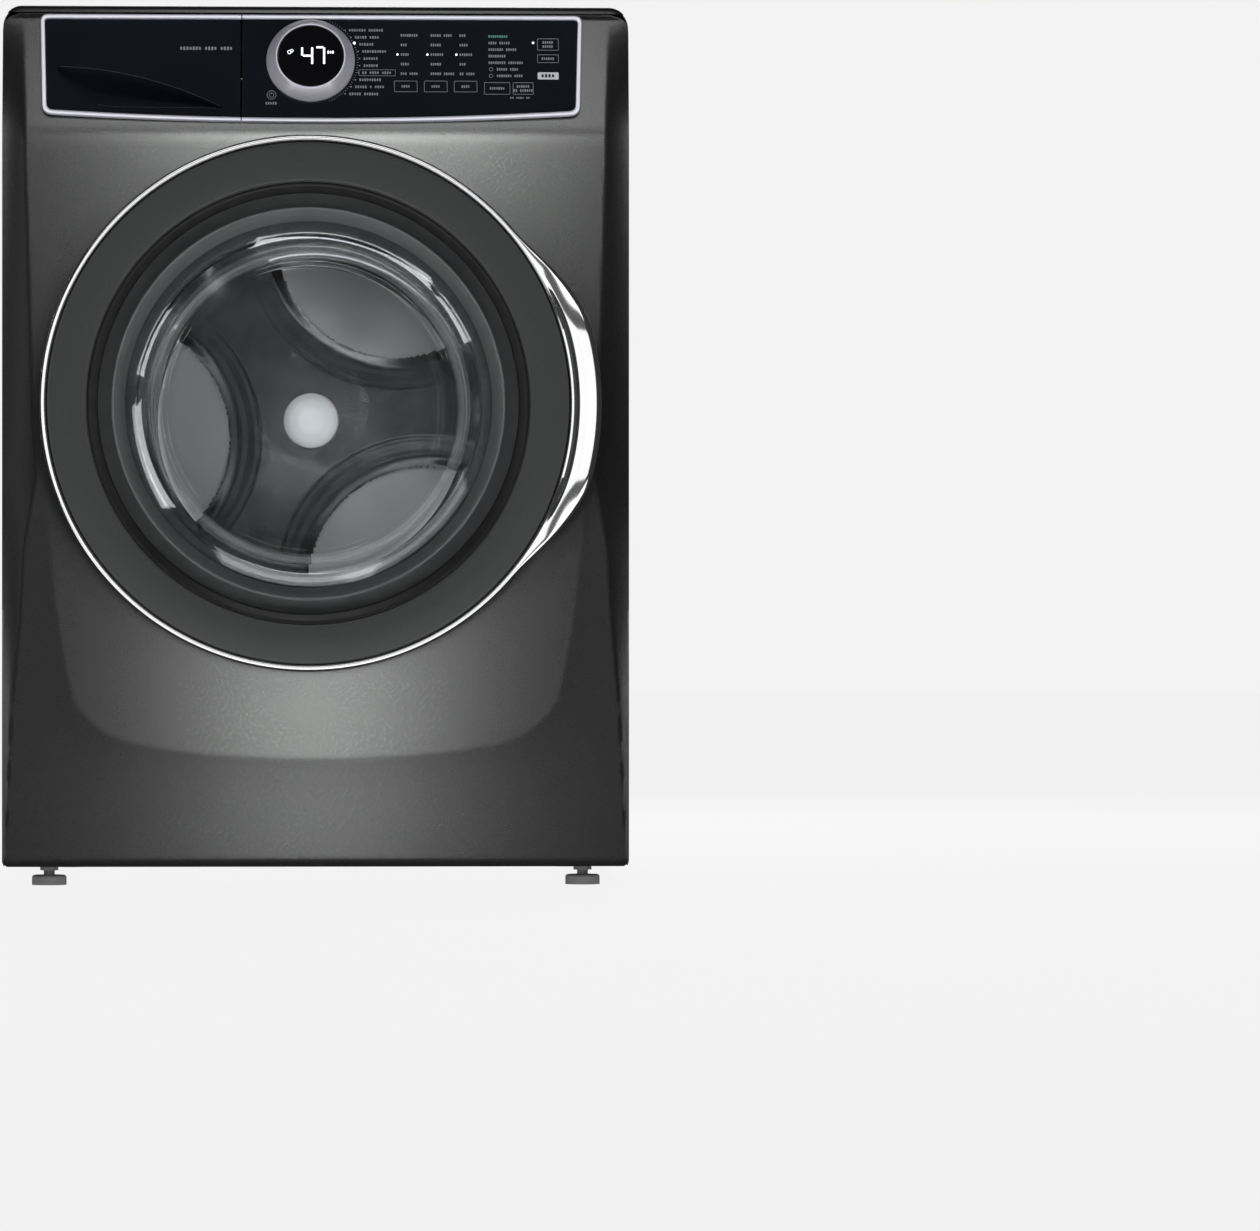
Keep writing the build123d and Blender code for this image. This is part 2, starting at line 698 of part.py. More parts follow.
def drain_outlet():
    path = FilletPolyline(
        (246, -240, DRAIN_Z), (DRAIN_X, -240, DRAIN_Z), (DRAIN_X, 402, DRAIN_Z), radius=28
    )
    tail = rod(DRAIN_X, DRAIN_Z, DRAIN_RADIUS + 1.5, 374.5, 402) - rod(DRAIN_X, DRAIN_Z, 9, 370, 405)
    return tube(path, DRAIN_RADIUS, 9) + tail


def cord_inlet():
    return rod(CORD_X, CORD_Z, 9.2, 364, 384) + rod(CORD_X, CORD_Z, 14, 372.3, 376) - rod(
        CORD_X, CORD_Z, 4.5, 360, 390)


save("base_pan", base_pan())
save("levelling_legs", *levelling_legs())
save("left_side_panel", side_panel(-1))
save("right_side_panel", side_panel(1))
save("rear_panel", rear_panel())
save("rear_access_cover", rear_access_cover())
save("cabinet_screws", *cabinet_screws())
save("top_panel", top_panel())
save("front_panel", front_panel())
save("upper_cross_rail", upper_cross_rail())
save("console_trim", trim_frame(False))
save("console_fascia", console_fascia())
save("display_window", display_window())
save("dial_ring", dial_ring())
save("power_button", power_button())
for name in BUTTONS:
    save(name, button(name))
save("drawer_trim", trim_frame(True))
save("drawer_front", drawer_front())
save("drawer_tray", drawer_tray())
save("siphon_cover", siphon_cover())
save("dispenser_housing", dispenser_housing())
save("inlet_valves", inlet_valves())
save("inlet_hoses", *inlet_hoses())
save("door_trim_ring", door_trim_ring())
save("door_outer_ring", door_outer_ring())
save("door_bezel", door_bezel())
save("glass_bowl", glass_bowl())
save("door_inner_frame", door_inner_frame())
save("hinge_arm", hinge_arm())
save("hinge_bracket", hinge_bracket())
save("door_strike", door_strike())
save("door_lock", door_lock())
save("door_gasket", door_gasket())
save("tub_front", tub_front())
save("tub_rear", tub_rear())
save("counterweights", *counterweights())
save("shaft_bearings", *shaft_bearings())
save("drive_motor", drive_motor())
save("motor_pulley", motor_pulley())
save("drive_belt", drive_belt())
save("damper_rods", *damper_rods())
save("damper_cylinders", *damper_cylinders())
save("tub_springs", *tub_springs())
save("drum_shell", drum_shell())
save("drum_rear", drum_rear())
save("drum_lifters", *drum_lifters())
save("drum_spider", drum_spider())
save("drum_pulley", drum_pulley())
save("hub_cap", hub_cap())
save("drain_pump", drain_pump())
save("sump_hose", sump_hose())
save("drain_outlet", drain_outlet())
save("cord_inlet", cord_inlet())
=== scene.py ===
import json
from math import atan2, cos, exp, hypot, pi, radians, sin, tan

import bmesh
import bpy
import numpy as np
from mathutils import Matrix, Vector
from mathutils.geometry import tessellate_polygon


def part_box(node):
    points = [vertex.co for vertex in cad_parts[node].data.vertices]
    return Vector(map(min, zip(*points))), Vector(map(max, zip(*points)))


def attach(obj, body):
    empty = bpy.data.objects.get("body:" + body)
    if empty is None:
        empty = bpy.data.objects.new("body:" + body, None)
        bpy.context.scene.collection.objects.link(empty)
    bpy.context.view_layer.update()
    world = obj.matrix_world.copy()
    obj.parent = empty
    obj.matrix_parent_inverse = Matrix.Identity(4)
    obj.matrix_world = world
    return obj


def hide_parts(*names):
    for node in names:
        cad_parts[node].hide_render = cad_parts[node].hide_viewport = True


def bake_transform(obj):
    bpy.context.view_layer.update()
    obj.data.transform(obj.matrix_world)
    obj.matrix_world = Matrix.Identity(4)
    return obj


# Metres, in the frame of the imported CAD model: +Z up, the door faces -Y.
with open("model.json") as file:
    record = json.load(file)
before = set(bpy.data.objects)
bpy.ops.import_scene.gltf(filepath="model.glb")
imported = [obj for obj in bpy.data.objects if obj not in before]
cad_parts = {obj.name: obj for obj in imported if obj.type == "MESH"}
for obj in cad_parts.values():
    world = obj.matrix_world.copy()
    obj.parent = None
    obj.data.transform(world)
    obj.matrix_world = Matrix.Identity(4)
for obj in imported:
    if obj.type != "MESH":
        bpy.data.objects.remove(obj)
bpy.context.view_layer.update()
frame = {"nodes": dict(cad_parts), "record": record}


def middle(node):
    """The centre of a node's box."""
    low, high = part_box(node)
    return (low + high) / 2


# Places read from the frame
AXIS_X, AXIS_Z = middle("glass_bowl").x, middle("glass_bowl").z
PANEL_LOW, PANEL_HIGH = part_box("front_panel")
PLATEAU, HALF_WIDTH = PANEL_LOW.y, PANEL_HIGH.x
HANDLE_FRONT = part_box("door_trim_ring")[0].y
DRUM_LOW, DRUM_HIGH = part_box("drum_shell")
DRUM_OUTER = (DRUM_HIGH.x - DRUM_LOW.x) / 2
POWER_X, POWER_Z = middle("power_button").x, 0.8646

# Front panel
LEAN_START, LEAN, PANEL_TOP = 0.824, radians(18), PANEL_HIGH.z
FACET_DEPTH, FACET_FADE, LEAN_ROUNDING = 0.026, 0.050, 0.004
DISH_RADIUS, MOUTH_RADIUS, DISH_FLOOR = 0.262, 0.196, PLATEAU + 0.030
SHEET = 0.0012
SHIELD_DROP, SHIELD_FADE, SHIELD_TOP_FADE = 0.006, 0.070, 0.12
PLATEAU_BOW, FOOT_TOP, FOOT_HEIGHT, FOOT_TUCK = 0.004, 0.030, 0.008, 0.004
SHOULDER_RADIUS, FOOT_RADIUS = 0.019, 0.006
# (height, half width) of the crease round the raised shield, and of the crease of the side facet
SHIELD_EDGE = ((0.141, 0), (0.1415, 0.04), (0.145, 0.112), (0.150, 0.160), (0.156, 0.195), (0.1625, 0.219),
               (0.1735, 0.238), (0.188, 0.254), (0.204, 0.265), (0.245, 0.274), (0.292, 0.2815),
               (0.365, 0.290), (0.4425, 0.297), (0.470, 0.303))
FACET_EDGE = ((0.022, 0.3405), (0.204, 0.331), (0.292, 0.323), (0.370, 0.3185), (0.413, 0.311),
              (0.451, 0.3035), (0.510, 0.308), (0.750, 0.316), (0.965, 0.321))

# Console, measured across, up the leaning face and out from it
CONSOLE_LEFT, CONSOLE_RIGHT, CONSOLE_TAPER = -0.302, 0.292, 0.0035
CONSOLE_TOP, CONSOLE_SIDE, CONSOLE_MIDDLE = 0.955, 0.843, 0.834
TRIM_WIDTH, FASCIA_FRONT, FASCIA_BACK, DRAWER_SPLIT = 0.005, 0.002, -0.005, -0.0815
SCOOP_LEFT, SCOOP_WIDTH, SCOOP_TOP, SCOOP_FLOOR, SCOOP_DEPTH = -0.284, 0.184, 0.896, 0.851, 0.0165
DIAL_X, DIAL_Z, WINDOW_FRONT = -0.006, 0.903, 0.0173
KEY_FRONT, KEY_DEPTH, PRINT_OUT = 0.0025, 0.0065, 0.00015
CYCLE_TOP, CYCLE_PITCH, OPTION_X = 0.938, 0.00797, 0.1886

# Door rings, as radii
TRIM_INNER, TRIM_OUTER, HANDLE_OUTER = 0.2845, 0.292, 0.319
HANDLE_FULL, HANDLE_LOW, HANDLE_END = radians(14), radians(30), radians(41)

# Drum
DRUM_FRONT_Y, DRUM_BACK_Y = DRUM_LOW.y + 0.011, 0.226
STAMP_ANGLE = radians(5)
POCKET_RADIUS, POCKET_CENTRE, POCKET_REACH, POCKET_WALL = 0.176, 0.235, 0.218, 0.036
RIM_ROLL, RIM_WIDTH, LIFTER_FOOT = 0.006, 0.020, 0.276
ARMS = [STAMP_ANGLE + k * 2 * pi / 3 for k in range(3)]

# Photograph's framing: picture width at the front panel's plane, and the camera's place
FRAME_WIDTH, AIM_X, AIM_Z = 1.3778, 0.343, 0.2965
CAMERA_X, CAMERA_Z, CAMERA_AWAY = 0.032, 0.273, 7.5
FLOOR_HALF, DOME_RADIUS = 30, 26


# ---- materials


def node_material(name):
    material = bpy.data.materials.new(name)
    material.use_nodes = True
    tree = material.node_tree
    return material, tree, tree.nodes["Principled BSDF"]


def set_inputs(node, **values):
    """Sets a shader node's inputs by name, with _ for a space."""
    for name, value in values.items():
        node.inputs[name.replace("_", " ")].default_value = value


def new_node(tree, kind, **values):
    """A new shader node with some of its inputs set."""
    node = tree.nodes.new("ShaderNode" + kind)
    set_inputs(node, **values)
    return node


def noise(tree, scale, detail=3, stretch=(1, 1, 1)):
    """A noise texture in the piece's own coordinates, stretched along its axes."""
    place = new_node(tree, "TexCoord")
    mapping = new_node(tree, "Mapping", Scale=stretch)
    texture = new_node(tree, "TexNoise", Scale=scale, Detail=detail)
    tree.links.new(place.outputs["Object"], mapping.inputs["Vector"])
    tree.links.new(mapping.outputs["Vector"], texture.inputs["Vector"])
    return texture.outputs["Fac"]


def spread(tree, source, low, high):
    """A texture's middle range turned into values from low to high."""
    ramp = new_node(tree, "MapRange", From_Min=0.3, From_Max=0.7, To_Min=low, To_Max=high)
    tree.links.new(source, ramp.inputs["Value"])
    return ramp.outputs["Result"]


def finish_surface(name, colour, rough, metal=0.0, vary=0.15, scale=60, stretch=(1, 1, 1),
                   bump=0.0, bump_scale=800, coat=0.0, coat_rough=0.1, uneven=0.15):
    """Colour and roughness that vary softly over the piece, with an optional fine bump."""
    material, tree, shader = node_material(name)
    field = noise(tree, scale, 4, stretch)
    mix = new_node(tree, "Mix")
    mix.data_type = "RGBA"
    mix.inputs["A"].default_value = (*[c * (1 - vary) for c in colour], 1)
    mix.inputs["B"].default_value = (*[min(1, c * (1 + vary)) for c in colour], 1)
    tree.links.new(spread(tree, field, 0, 1), mix.inputs["Factor"])
    tree.links.new(mix.outputs["Result"], shader.inputs["Base Color"])
    roughness = spread(tree, field, rough * (1 - uneven), rough * (1 + uneven))
    tree.links.new(roughness, shader.inputs["Roughness"])
    set_inputs(shader, Metallic=metal, Coat_Weight=coat, Coat_Roughness=coat_rough)
    if bump:
        height = new_node(tree, "Bump", Strength=bump, Distance=0.0005)
        tree.links.new(noise(tree, bump_scale, 2, stretch), height.inputs["Height"])
        tree.links.new(height.outputs["Normal"], shader.inputs["Normal"])
    return material


def titanium_paint():
    """Dark metallic paint with fine flakes under a satin clear coat."""
    return finish_surface("titanium_paint", (0.106, 0.109, 0.106), 0.31, metal=0.92, vary=0.16,
                          scale=900, bump=0.12, bump_scale=1600, coat=0.15, coat_rough=0.25)


def clear_glass():
    """Clear moulded glass: it mirrors at a slant and lets the rest straight through."""
    material, tree, shader = node_material("clear_glass")
    tree.nodes.remove(shader)
    through = new_node(tree, "BsdfTransparent", Color=(0.95, 0.96, 0.965, 1))
    gloss = new_node(tree, "BsdfGlossy", Color=(0.95, 0.96, 0.97, 1))
    tree.links.new(spread(tree, noise(tree, 9), 0.01, 0.035), gloss.inputs["Roughness"])
    facing = new_node(tree, "LayerWeight", Blend=0.5)
    steep = new_node(tree, "Math")
    steep.operation = "POWER"
    steep.inputs[1].default_value = 4.5
    share = new_node(tree, "MapRange", To_Min=0.055, To_Max=0.28)
    mix = new_node(tree, "MixShader")
    tree.links.new(facing.outputs["Facing"], steep.inputs[0])
    tree.links.new(steep.outputs["Value"], share.inputs["Value"])
    tree.links.new(share.outputs["Result"], mix.inputs["Fac"])
    tree.links.new(through.outputs["BSDF"], mix.inputs[1])
    tree.links.new(gloss.outputs["BSDF"], mix.inputs[2])
    tree.links.new(mix.outputs["Shader"], tree.nodes["Material Output"].inputs["Surface"])
    return material


def add_glow(material, colour, strength):
    """Gives a finish some light of its own, and returns its shader."""
    shader = material.node_tree.nodes["Principled BSDF"]
    set_inputs(shader, Emission_Color=(*colour, 1), Emission_Strength=strength)
    return shader


def lit_print(name, colour, strength):
    """Printed or lit marks, a little uneven, each with the given glow. On the lit figures it is their own
    light. On plain print, which is no lamp, it is painted light that keeps the print readable on a dark
    face. The same finish also serves for painted highlight lines.
    """
    material = finish_surface(name, colour, 0.5, vary=0.06, scale=400)
    add_glow(material, colour, strength)
    return material


MATERIALS = {
    "painted_dark": titanium_paint(),
    "galvanised": finish_surface("galvanised_sheet", (0.5, 0.51, 0.52), 0.42, 0.9, 0.18, 35, bump=0.08),
    "zinc": finish_surface("zinc_plate", (0.55, 0.55, 0.52), 0.35, 0.9, 0.1, 120, bump=0.05),
    "chrome": finish_surface("chrome_plate", (0.9, 0.9, 0.91), 0.11, 1.0, 0.02, 25, uneven=0.05),
    "lavender_chrome": finish_surface("cool_chrome", (0.82, 0.81, 0.91), 0.28, 0.6, 0.01, 40, uneven=0.02),
    "navy_gloss": finish_surface("navy_gloss", (0.013, 0.016, 0.027), 0.16, vary=0.2, scale=7, coat=0.5,
                                 coat_rough=0.06),
    "black_gloss": finish_surface("black_gloss", (0.004, 0.004, 0.007), 0.1, vary=0.2, scale=9, coat=0.6),
    "dark_satin": finish_surface("dark_satin_lacquer", (0.066, 0.068, 0.069), 0.42, 0.2, 0.08, 500,
                                 bump=0.04, coat=0.2, coat_rough=0.35),
    "black_plastic": finish_surface("black_plastic", (0.012, 0.012, 0.013), 0.38, vary=0.2, bump=0.1),
    "grey_plastic": finish_surface("grey_plastic", (0.21, 0.213, 0.21), 0.5, vary=0.08, bump=0.15),
    "white_plastic": finish_surface("white_plastic", (0.78, 0.79, 0.8), 0.38, vary=0.04, bump=0.08),
    "tub_plastic": finish_surface("tub_plastic", (0.5, 0.51, 0.52), 0.55, vary=0.1, bump=0.25),
    "grey_rubber": finish_surface("grey_rubber", (0.075, 0.076, 0.078), 0.5, vary=0.12, bump=0.2),
    "black_rubber": finish_surface("black_rubber", (0.015, 0.015, 0.015), 0.6, vary=0.2, bump=0.3),
    "stainless": finish_surface("stainless_drum", (0.60, 0.60, 0.60), 0.20, 1.0, 0.06, 30,
                                (1, 6, 1), bump=0.03, bump_scale=300),
    "cast": finish_surface("cast_iron_paint", (0.11, 0.11, 0.115), 0.65, 0.3, 0.25, 90, bump=0.5),
    "alloy": finish_surface("cast_alloy", (0.55, 0.56, 0.57), 0.45, 0.95, 0.12, 80, bump=0.2),
    "glass": clear_glass(),
}
# Console print with a faint glow of its own: painted brightness, as print is no lamp
PRINT = lit_print("console_print", (0.46, 0.47, 0.52), 0.10)
BRIGHT_PRINT = lit_print("lit_digits", (0.92, 0.94, 1.0), 1.6)
# Green print, also with a faint painted glow
GREEN_PRINT = lit_print("green_print", (0.2, 0.55, 0.42), 0.1)
DARK_PRINT = lit_print("dark_print", (0.03, 0.03, 0.05), 0.0)
# Colour of the light lines along the scoop's upper and lower edges: a painted highlight, not print
SCOOP_EDGE_PAINTED_HIGHLIGHT = lit_print("scoop_lip", (0.10, 0.105, 0.14), 0.0)
BRIGHT_PATCH = lit_print("light_patch", (0.8, 0.82, 0.86), 0.25)


# ---- mesh helpers


def new_object(name, data):
    thing = bpy.data.objects.new(name, data)
    bpy.context.scene.collection.objects.link(thing)
    return thing


def piece(name, vertices, faces, body, slot, replaces=(), material=None, sharp=35):
    """A mesh that rides a body, with the finish of a material slot."""
    mesh = bpy.data.meshes.new(name)
    mesh.from_pydata([tuple(v) for v in vertices], [], [tuple(f) for f in faces])
    tidy = bmesh.new()
    tidy.from_mesh(mesh)
    bmesh.ops.remove_doubles(tidy, verts=tidy.verts, dist=1e-6)
    bmesh.ops.recalc_face_normals(tidy, faces=tidy.faces)
    tidy.to_mesh(mesh)
    tidy.free()
    mesh.shade_smooth()
    mesh.set_sharp_from_angle(angle=radians(sharp))
    thing = new_object(name, mesh)
    mesh.materials.append(material or MATERIALS[slot])
    if body:
        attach(thing, body)
    if replaces:
        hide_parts(*replaces)
    return thing


def soften(points, radius, steps=5, closed=True):
    """Rounds each corner of an outline with a short curve."""
    count, result = len(points), []
    for i, here in enumerate(points):
        if not closed and i in (0, count - 1):
            result.append(tuple(here))
            continue
        here, before, after = (np.array(points[j % count], float) for j in (i, i - 1, i + 1))
        back, on = before - here, after - here
        reach = min(radius, np.linalg.norm(back) * 0.45, np.linalg.norm(on) * 0.45)
        start, end = (here + side / np.linalg.norm(side) * reach for side in (back, on))
        for t in np.linspace(0, 1, steps):
            result.append(tuple((1 - t) ** 2 * start + 2 * t * (1 - t) * here + t * t * end))
    return result


def grid_faces(rows, columns, wrap_rows=False, wrap_columns=False):
    """Four-sided faces between the neighbours of a grid of points, listed row by row."""
    faces = []
    for r in range(rows if wrap_rows else rows - 1):
        for c in range(columns if wrap_columns else columns - 1):
            down, right = (r + 1) % rows, (c + 1) % columns
            faces.append((r * columns + c, r * columns + right,
                          down * columns + right, down * columns + c))
    return faces


def around_axis(radius, y, angle):
    return (AXIS_X + radius * cos(angle), y, AXIS_Z + radius * sin(angle))


def lathe(name, profile, body, slot, replaces=(), steps=256, closed=True, sharp=35):
    """A (radius, y) outline turned about the drum's axis."""
    vertices = [around_axis(r, y, 2 * pi * k / steps) for k in range(steps) for r, y in profile]
    faces = grid_faces(steps, len(profile), True, closed)
    return piece(name, vertices, faces, body, slot, replaces, sharp=sharp)


def on_face(x, z, out):
    """A point on the leaning console face, given its height above the floor at the face."""
    up = (z - LEAN_START) / cos(LEAN)
    y = PLATEAU + up * sin(LEAN) - out * cos(LEAN)
    return (x, y, LEAN_START + up * cos(LEAN) + out * sin(LEAN))


def block(low, high, radius=0.002):
    """Vertices and faces of a box with chamfered corners, to join into a piece."""
    shape = bmesh.new()
    bmesh.ops.create_cube(shape, size=1)
    for v in shape.verts:
        v.co = [low[i] + (v.co[i] + 0.5) * (high[i] - low[i]) for i in range(3)]
    bmesh.ops.bevel(shape, geom=shape.edges[:], offset=radius, segments=3, affect="EDGES")
    shape.verts.index_update()
    result = [tuple(v.co) for v in shape.verts], [[v.index for v in f.verts] for f in shape.faces]
    shape.free()
    return result


# ---- front panel


def smooth_step(t):
    t = np.clip(t, 0, 1)
    return t * t * (3 - 2 * t)


def distance_to_line(x, z, line):
    """The shortest distance from each point to an open line of points."""
    best = np.full(x.shape, 9.0)
    for (x0, z0), (x1, z1) in zip(line[:-1], line[1:]):
        dx, dz = x1 - x0, z1 - z0
        t = np.clip(((x - x0) * dx + (z - z0) * dz) / (dx * dx + dz * dz), 0, 1)
        best = np.minimum(best, np.hypot(x - x0 - t * dx, z - z0 - t * dz))
    return best


def panel_depth(x, z):
    """How far the front panel's skin lies behind its plateau."""
    across = np.abs(x)
    heights, widths = zip(*FACET_EDGE)
    crease = np.interp(z, heights, widths)
    beyond = np.clip((across - crease) / (HALF_WIDTH - crease), 0, 1)
    facet = FACET_DEPTH * beyond * (0.75 + 0.25 * beyond)
    heights, widths = zip(*SHIELD_EDGE)
    inner = np.interp(z, heights, widths, left=0)
    outside = (z < SHIELD_EDGE[-1][0]) & (across > inner)
    away = distance_to_line(across, z, [(w, h) for h, w in SHIELD_EDGE])
    fade = smooth_step((SHIELD_EDGE[-1][0] - z) / SHIELD_TOP_FADE)
    shield = np.where(outside, SHIELD_DROP * (1 - np.exp(-away / SHIELD_FADE)), 0) * fade
    bow = PLATEAU_BOW * (x / HALF_WIDTH) ** 2
    lean = LEAN_ROUNDING * np.logaddexp(0, (z - LEAN_START) / LEAN_ROUNDING) * tan(LEAN)
    edge = np.clip((FOOT_TOP - z) / FOOT_HEIGHT, 0, 1) ** 2 * FOOT_TUCK
    facet *= np.clip(1 - lean / FACET_FADE, 0.12, 1)
    return facet + (shield + bow) * (1 - beyond) + lean + edge


def console_points(inset, steps=9):
    """The console's rounded outline with its bowed lower edge, anticlockwise."""
    left, right, top = CONSOLE_LEFT + inset, CONSOLE_RIGHT - inset, CONSOLE_TOP - inset
    low_left, low_right = left + CONSOLE_TAPER, right - CONSOLE_TAPER
    middle_x, half = (left + right) / 2, (low_right - low_left) / 2
    base, sag = CONSOLE_SIDE + inset, CONSOLE_SIDE - CONSOLE_MIDDLE
    lower = []
    for k in range(1, 24):
        x = low_left + (low_right - low_left) * k / 24
        lower.append((x, base - sag * (1 - ((x - middle_x) / half) ** 2)))

    def corner(before, here, after, radius):
        return soften([before, here, after], radius, steps, closed=False)[1:-1]

    low_radius, top_radius = max(0.012 - inset, 0.004), max(0.009 - inset, 0.003)
    outline = corner((left, top), (low_left, base), lower[0], low_radius) + lower
    outline += corner(lower[-1], (low_right, base), (right, top), low_radius)
    outline += corner((low_right, base), (right, top), (left, top), top_radius)
    return outline + corner((right, top), (left, top), (low_left, base), top_radius)


def cut(thing, cutter):
    """Removes a cutter's volume from a piece, and the cutter."""
    tool = thing.modifiers.new("cut", "BOOLEAN")
    tool.operation = "DIFFERENCE"
    tool.solver = "EXACT"
    tool.object = cutter
    apply_modifiers(thing)
    bpy.data.objects.remove(cutter)


def apply_modifiers(thing):
    bpy.context.view_layer.update()
    done = bpy.data.meshes.new_from_object(thing.evaluated_get(bpy.context.evaluated_depsgraph_get()))
    thing.modifiers.clear()
    thing.data = done


def prism(name, front, back):
    """A closed solid between two outlines with the same number of points."""
    count = len(front)
    faces = [(i, (i + 1) % count, count + (i + 1) % count, count + i) for i in range(count)]
    faces += [tuple(range(count)), tuple(range(2 * count - 1, count - 1, -1))]
    return piece(name, front + back, faces, None, "painted_dark")


def rounding(radius, rise):
    """How far a round corner has turned inwards after rising by a given height."""
    return radius - max(0, radius ** 2 - rise ** 2) ** 0.5


def front_panel():
    """The pressed front sheet: a raised shield, side facets, a leaning top and round shoulders."""
    bottom, top = PANEL_LOW.z, PANEL_TOP
    columns, rows = 230, 300
    vertices = []
    for r in range(rows):
        z = bottom + (top - bottom) * r / (rows - 1)
        rise = max(0, z - (top - SHOULDER_RADIUS))
        foot = max(0, bottom + FOOT_RADIUS - z)
        half = HALF_WIDTH - rounding(SHOULDER_RADIUS, rise) - rounding(FOOT_RADIUS, foot)
        for c in range(columns):
            share = 2 * c / (columns - 1) - 1
            closer = 1.12 - 0.12 * share * share  # columns lie closer together at the side facets
            vertices.append([half * share * closer, 0, z])
    place = np.array(vertices)
    place[:, 1] = PLATEAU + panel_depth(place[:, 0], place[:, 2])
    faces = grid_faces(rows, columns)
    edge = list(range(columns)) + [r * columns + columns - 1 for r in range(1, rows)]
    edge += [(rows - 1) * columns + c for c in range(columns - 2, -1, -1)]
    edge += [r * columns for r in range(rows - 2, 0, -1)]
    start = len(place)
    rim = place[edge].copy()
    rim[:, 1] = PANEL_HIGH.y
    place = np.vstack([place, rim])
    count = len(edge)
    faces += [(edge[i], edge[(i + 1) % count], start + (i + 1) % count, start + i) for i in range(count)]
    panel = piece("front_skin", place, faces, None, "painted_dark", sharp=40)
    thickness = panel.modifiers.new("sheet", "SOLIDIFY")
    thickness.thickness = SHEET
    thickness.offset = -1
    apply_modifiers(panel)
    circle = [around_axis(DISH_RADIUS, -0.45, 2 * pi * k / 160) for k in range(160)]
    cut(panel, prism("mouth", circle, [(x, -0.30, z) for x, y, z in circle]))
    opening = console_points(0.0025)
    cut(panel, prism("console_hole", [on_face(x, z, 0.02) for x, z in opening],
                     [on_face(x, z, -0.012) for x, z in opening]))
    panel.data.shade_smooth()
    panel.data.set_sharp_from_angle(angle=radians(40))
    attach(panel, "cabinet")
    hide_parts("front_panel")
    floor, lip = DISH_FLOOR, PLATEAU + 0.0006
    lathe("door_dish", soften([
        (MOUTH_RADIUS, floor), (DISH_RADIUS - 0.003, floor), (DISH_RADIUS - 0.0002, lip),
        (DISH_RADIUS + 0.0008, lip), (DISH_RADIUS, floor + SHEET), (MOUTH_RADIUS, floor + SHEET),
    ], 0.004, 4), "cabinet", "painted_dark")


# ---- console


def frame_strip(name, body, replaces, outline, inner):
    """A rounded metal strip between two matching outlines on the console's face."""
    heights = ((0, 0.0003), (0, 0.0030), (0.08, 0.0038), (0.2, 0.004), (0.8, 0.004), (0.92, 0.0037),
               (1, 0.0028), (1, 0.0003))
    vertices = []
    for (x0, z0), (x1, z1) in zip(outline, inner):
        for share, out in heights:
            vertices.append(on_face(x0 + (x1 - x0) * share, z0 + (z1 - z0) * share, out))
    faces = grid_faces(len(outline), len(heights), False, True)
    last = len(vertices) - len(heights)
    faces += [tuple(range(len(heights))), tuple(range(last, len(vertices)))]
    piece(name, vertices, faces, body, "lavender_chrome", replaces)


def half_outline(inset, drawer_side, gap=0.0006):
    """The part of the console's outline on one side of the drawer's split, from split to split."""
    edge = DRAWER_SPLIT + (-gap if drawer_side else gap)
    points = console_points(inset)
    keep = [i for i, (x, z) in enumerate(points) if (x < edge) == drawer_side]
    jump = next((k for k in range(1, len(keep)) if keep[k] != keep[k - 1] + 1), 0)
    keep = keep[jump:] + keep[:jump]
    half = [points[i] for i in keep]
    ahead, behind = points[keep[0] - 1], points[(keep[-1] + 1) % len(points)]
    return [meet(ahead, half[0], edge)] + half + [meet(half[-1], behind, edge)]


def meet(a, b, x):
    """Where the line through two outline points crosses a given x."""
    share = (x - a[0]) / (b[0] - a[0])
    return (x, a[1] + (b[1] - a[1]) * share)


def console_frames():
    """The metal strip round the console, in one part on the drawer and one on the cabinet."""
    for node, body, drawer_side in (("drawer_trim", "detergent_drawer", True),
                                    ("console_trim", "cabinet", False)):
        frame_strip(node + "_strip", body, [node], half_outline(0, drawer_side),
                    half_outline(TRIM_WIDTH, drawer_side))


def scoop_edges(steps=40):
    """The finger scoop's lower and upper edges, from its round end to its pointed end."""
    lower, upper = [], []
    for k in range(steps + 1):
        t = k / steps
        upper.append((SCOOP_LEFT + SCOOP_WIDTH * t, SCOOP_TOP - 0.0009 * t - 0.0451 * t * t))
        if t < 0.4:
            u = t / 0.4
            bends = ((SCOOP_LEFT, -0.272, -0.212), (SCOOP_TOP, SCOOP_FLOOR, SCOOP_FLOOR))
            lower.append(tuple((1 - u) ** 2 * a + 2 * u * (1 - u) * b + u * u * c for a, b, c in bends))
        else:
            along = (t - 0.4) / 0.6
            lower.append((-0.212 + 0.112 * along, SCOOP_FLOOR - 0.001 * along))
    return lower, upper


